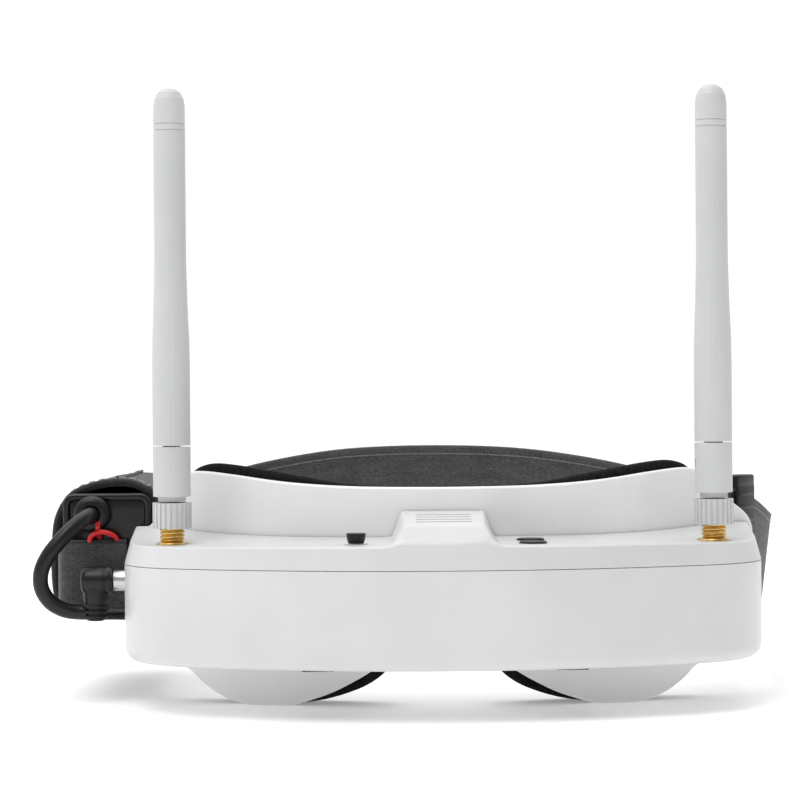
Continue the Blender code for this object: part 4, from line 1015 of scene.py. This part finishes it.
def power_lead():
    plug = bmesh.new()
    profile = [(0.01, -85.8), (3.1, -85.8), (3.55, -86.0), (3.75, -86.4), (3.75, -87.4),
               (3.55, -87.6), (3.55, -88.0), (3.75, -88.2), (3.75, -92.4), (3.5, -93.3),
               (2.8, -93.9), (1.6, -94.15), (0.01, -94.2)]
    lathe(plug, profile, (0, 45, 32.7), "X")

    tail = [(0.01, 31), (3.3, 31), (3.35, 28.4), (3.1, 27.4), (3.0, 26.6)]
    for rib in range(3):
        top = 26.4 - 1.35 * rib
        wide = 3.5 - 0.12 * rib
        tail += [(wide - 0.15, top), (wide, top - 0.15), (wide, top - 0.7),
                 (wide - 0.9, top - 0.85), (wide - 0.9, top - 1.3)]
    tail += [(2.3, 22.4), (1.6, 22.2), (0.01, 22.15)]
    lathe(plug, tail, (-90.3, 45, 0))
    tip = piece("plug_moulding", plug, rubber, replaces=["dc_plug"], slot="cable_rubber")
    low, high = (PLACE.inverted() @ Vector(corner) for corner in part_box("plug_barrel"))
    radius = (high.z - low.z) / 2
    middle = (low.x + high.x) / 2 - 0.6
    barrel = lathe(bmesh.new(), [
        (0.01, low.x), (radius - 0.1, low.x), (radius, low.x + 0.15), (radius, middle - 0.35),
        (radius - 0.45, middle - 0.2), (radius - 0.45, middle + 0.2), (radius, middle + 0.35),
        (radius, high.x - 0.3), (radius - 0.3, high.x), (0.01, high.x)],
        (0, (low.y + high.y) / 2, (low.z + high.z) / 2), "X")
    metal_end = piece("barrel_turning", barrel, steel, replaces=["plug_barrel"], slot="steel")
    route = [at(*p[:3]) for p in through([Vector(p) for p in CABLE_ROUTE], 4)]
    curve = bpy.data.curves.new("supply_cable", "CURVE")
    curve.dimensions = "3D"
    curve.bevel_depth = 2 * MM
    curve.bevel_resolution = 6
    curve.use_fill_caps = True
    spline = curve.splines.new("POLY")
    spline.points.add(len(route) - 1)
    for point, place in zip(spline.points, route):
        point.co = (*place, 1)
    cable = bpy.data.objects.new("supply_cable", curve)
    scene.collection.objects.link(cable)
    curve.materials.append(rubber.mat)
    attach(cable, "headset")
    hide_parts("power_cable")
    length = sum((b - a).length for a, b in zip(route, route[1:]))
    bm = bmesh.new()
    for route in (RED_LOOP, RED_STUB):
        pipe(bm, through([Vector(p) for p in route], 8), 0.65, 14)
    piece("red_wire", bm, red, replaces=["red_lead"], slot="red_insulation", angle=70)


# ---------------------------------------------------------------- connectors and controls
def sma_threads():
    for side, label in ((-1, "left"), (1, "right")):
        x = side * ANTENNA[0]
        bm = bmesh.new()
        rows = []
        steps = 48
        for z in np.arange(43.5, 47.4, 0.1):
            row = []
            for k in range(steps):
                phase = (z / 0.95 - k / steps) % 1.0
                crest = 1 - abs(2 * phase - 1)
                fade = min(1.0, max(0.0, (z - 43.5) / 0.5))
                radius = 2.62 + 0.55 * min(1.0, crest * 1.5) * fade
                angle = 2 * math.pi * k / steps
                row.append((x + radius * math.cos(angle), ANTENNA[1] + radius * math.sin(angle), z))
            rows.append(row)
        skin(bm, rows, closed=True)
        lathe(bm, [(3.3, 47.4), (3.0, 52.4), (0.01, 52.4)], (x, ANTENNA[1], 0))
        lathe(bm, [(2.6, 43.6), (3.4, 43.5), (3.75, 43.3), (3.85, 43.1), (3.85, 42.8), (3.3, 42.7),
                   (3.3, 39.7), (0.01, 39.7)], (x, ANTENNA[1], 0))
        piece(f"connector_{label}", bm, brass, replaces=[f"sma_jack_{label}"], slot="brass",
              angle=50)


def controls():
    x, y = JOYSTICK
    profile = [(0.01, 46.1), (1.9, 46.1), (2.3, 46.1), (2.42, 46.0), (2.42, 45.7),
               (2.0, 43.7), (1.9, 43.5), (0.01, 43.5)]
    bm = lathe(bmesh.new(), profile, (x, y, 0))
    for k in range(12):
        angle = 2 * math.pi * k / 12
        spot = Vector((x + 2.12 * math.cos(angle), y + 2.12 * math.sin(angle), 0))
        pipe(bm, [spot + Vector((-0.12 * math.cos(angle), -0.12 * math.sin(angle), 44.1)),
                  spot + Vector((0.2 * math.cos(angle), 0.2 * math.sin(angle), 45.7))], 0.16, 6)
    piece("stick_cap", bm, black, "joystick_cap_body", ["joystick_cap"], "black_plastic", merge=0)
    for (x, y), label in zip(BUTTONS, ("front", "rear")):
        profile = [(0.01, 43.8), (1.6, 43.78), (2.4, 43.84), (3.1, 43.84), (3.4, 43.7),
                   (3.5, 43.4), (3.5, 41.3), (0.01, 41.2)]
        bm = lathe(bmesh.new(), profile, (x, y, 0))
        piece(f"key_{label}", bm, black, f"button_{label}_body", [f"button_{label}"],
              "black_plastic")


def underside():
    for side, label in ((-1, "left"), (1, "right")):
        x = side * EYE_X
        bm = bmesh.new()
        slab_box(bm, (x - 4, 11.7, 12.1), (x + 4, 17.3, 12.5), 0.15)
        for k in range(7):
            spot = x - 3.3 + k * 1.1
            slab_box(bm, (spot - 0.22, 12.2, 12.0), (spot + 0.22, 16.8, 12.2), 0.08, 2)
        slab_box(bm, (x - 1.8, 12.9, 12.2), (x + 1.8, 16.1, 16.2), 0.1, 1)
        piece(f"spacing_slider_{label}", bm, black, f"eye_carriage_{label}",
              [f"ipd_knob_{label}"], "black_plastic", merge=0)
        bm = bmesh.new()
        slab_box(bm, (x - 3.4, 22.0, 11.35), (x + 3.4, 26.4, 12.3), 0.35)
        for k in range(5):
            spot = 22.6 + k * 0.8
            slab_box(bm, (x - 2.9, spot, 11.2), (x + 2.9, spot + 0.35, 11.45), 0.1, 2)
        slab_box(bm, (x - 1.5, 23.0, 11.8), (x + 1.5, 25.4, 17.9), 0.1, 1)
        piece(f"focus_slider_{label}", bm, black, f"lens_carrier_{label}",
              [f"focus_lever_{label}"], "black_plastic", merge=0)
    cross = []
    for quarter in range(4):
        angle = math.radians(90 * quarter)
        for u, v in ((0.28, 0.28), (1.15, 0.28), (1.15, -0.28)):
            cross.append((u * math.cos(angle) - v * math.sin(angle),
                          u * math.sin(angle) + v * math.cos(angle)))
    cross = sorted(cross, key=lambda p: math.atan2(p[1], p[0]))
    for index, (x, y) in enumerate(SCREWS, 1):
        bm = bmesh.new()
        rim = circle(x, y, 1.75, 32)
        hole = [(x + u, y + v) for u, v in cross]
        fill(bm, rim, [hole], 0.7, lambda u, v: (u, v, 12.95))
        skin(bm, [[(u, v, 12.95) for u, v in rim],
                  [(u, v, 13.1) for u, v in circle(x, y, 1.97, 32)],
                  [(u, v, 14.0) for u, v in circle(x, y, 1.97, 32)],
                  [(u, v, 14.0) for u, v in circle(x, y, 0.95, 32)],
                  [(u, v, 20.8) for u, v in circle(x, y, 0.95, 32)]], closed=True)
        skin(bm, [[(u, v, 12.95) for u, v in hole], [(u, v, 13.7) for u, v in hole]], closed=True)
        fill(bm, hole, [], 0.6, lambda u, v: (u, v, 13.7))
        piece(f"screw_{index}", bm, steel, replaces=[f"case_screw_{index}"], slot="steel")


top_cover()
front_shell()
face_plate()
face_foam()
head_strap()
strap_slider()
battery_pouch()
pouch_pocket()
battery_case()
power_lead()
sma_threads()
controls()
underside()
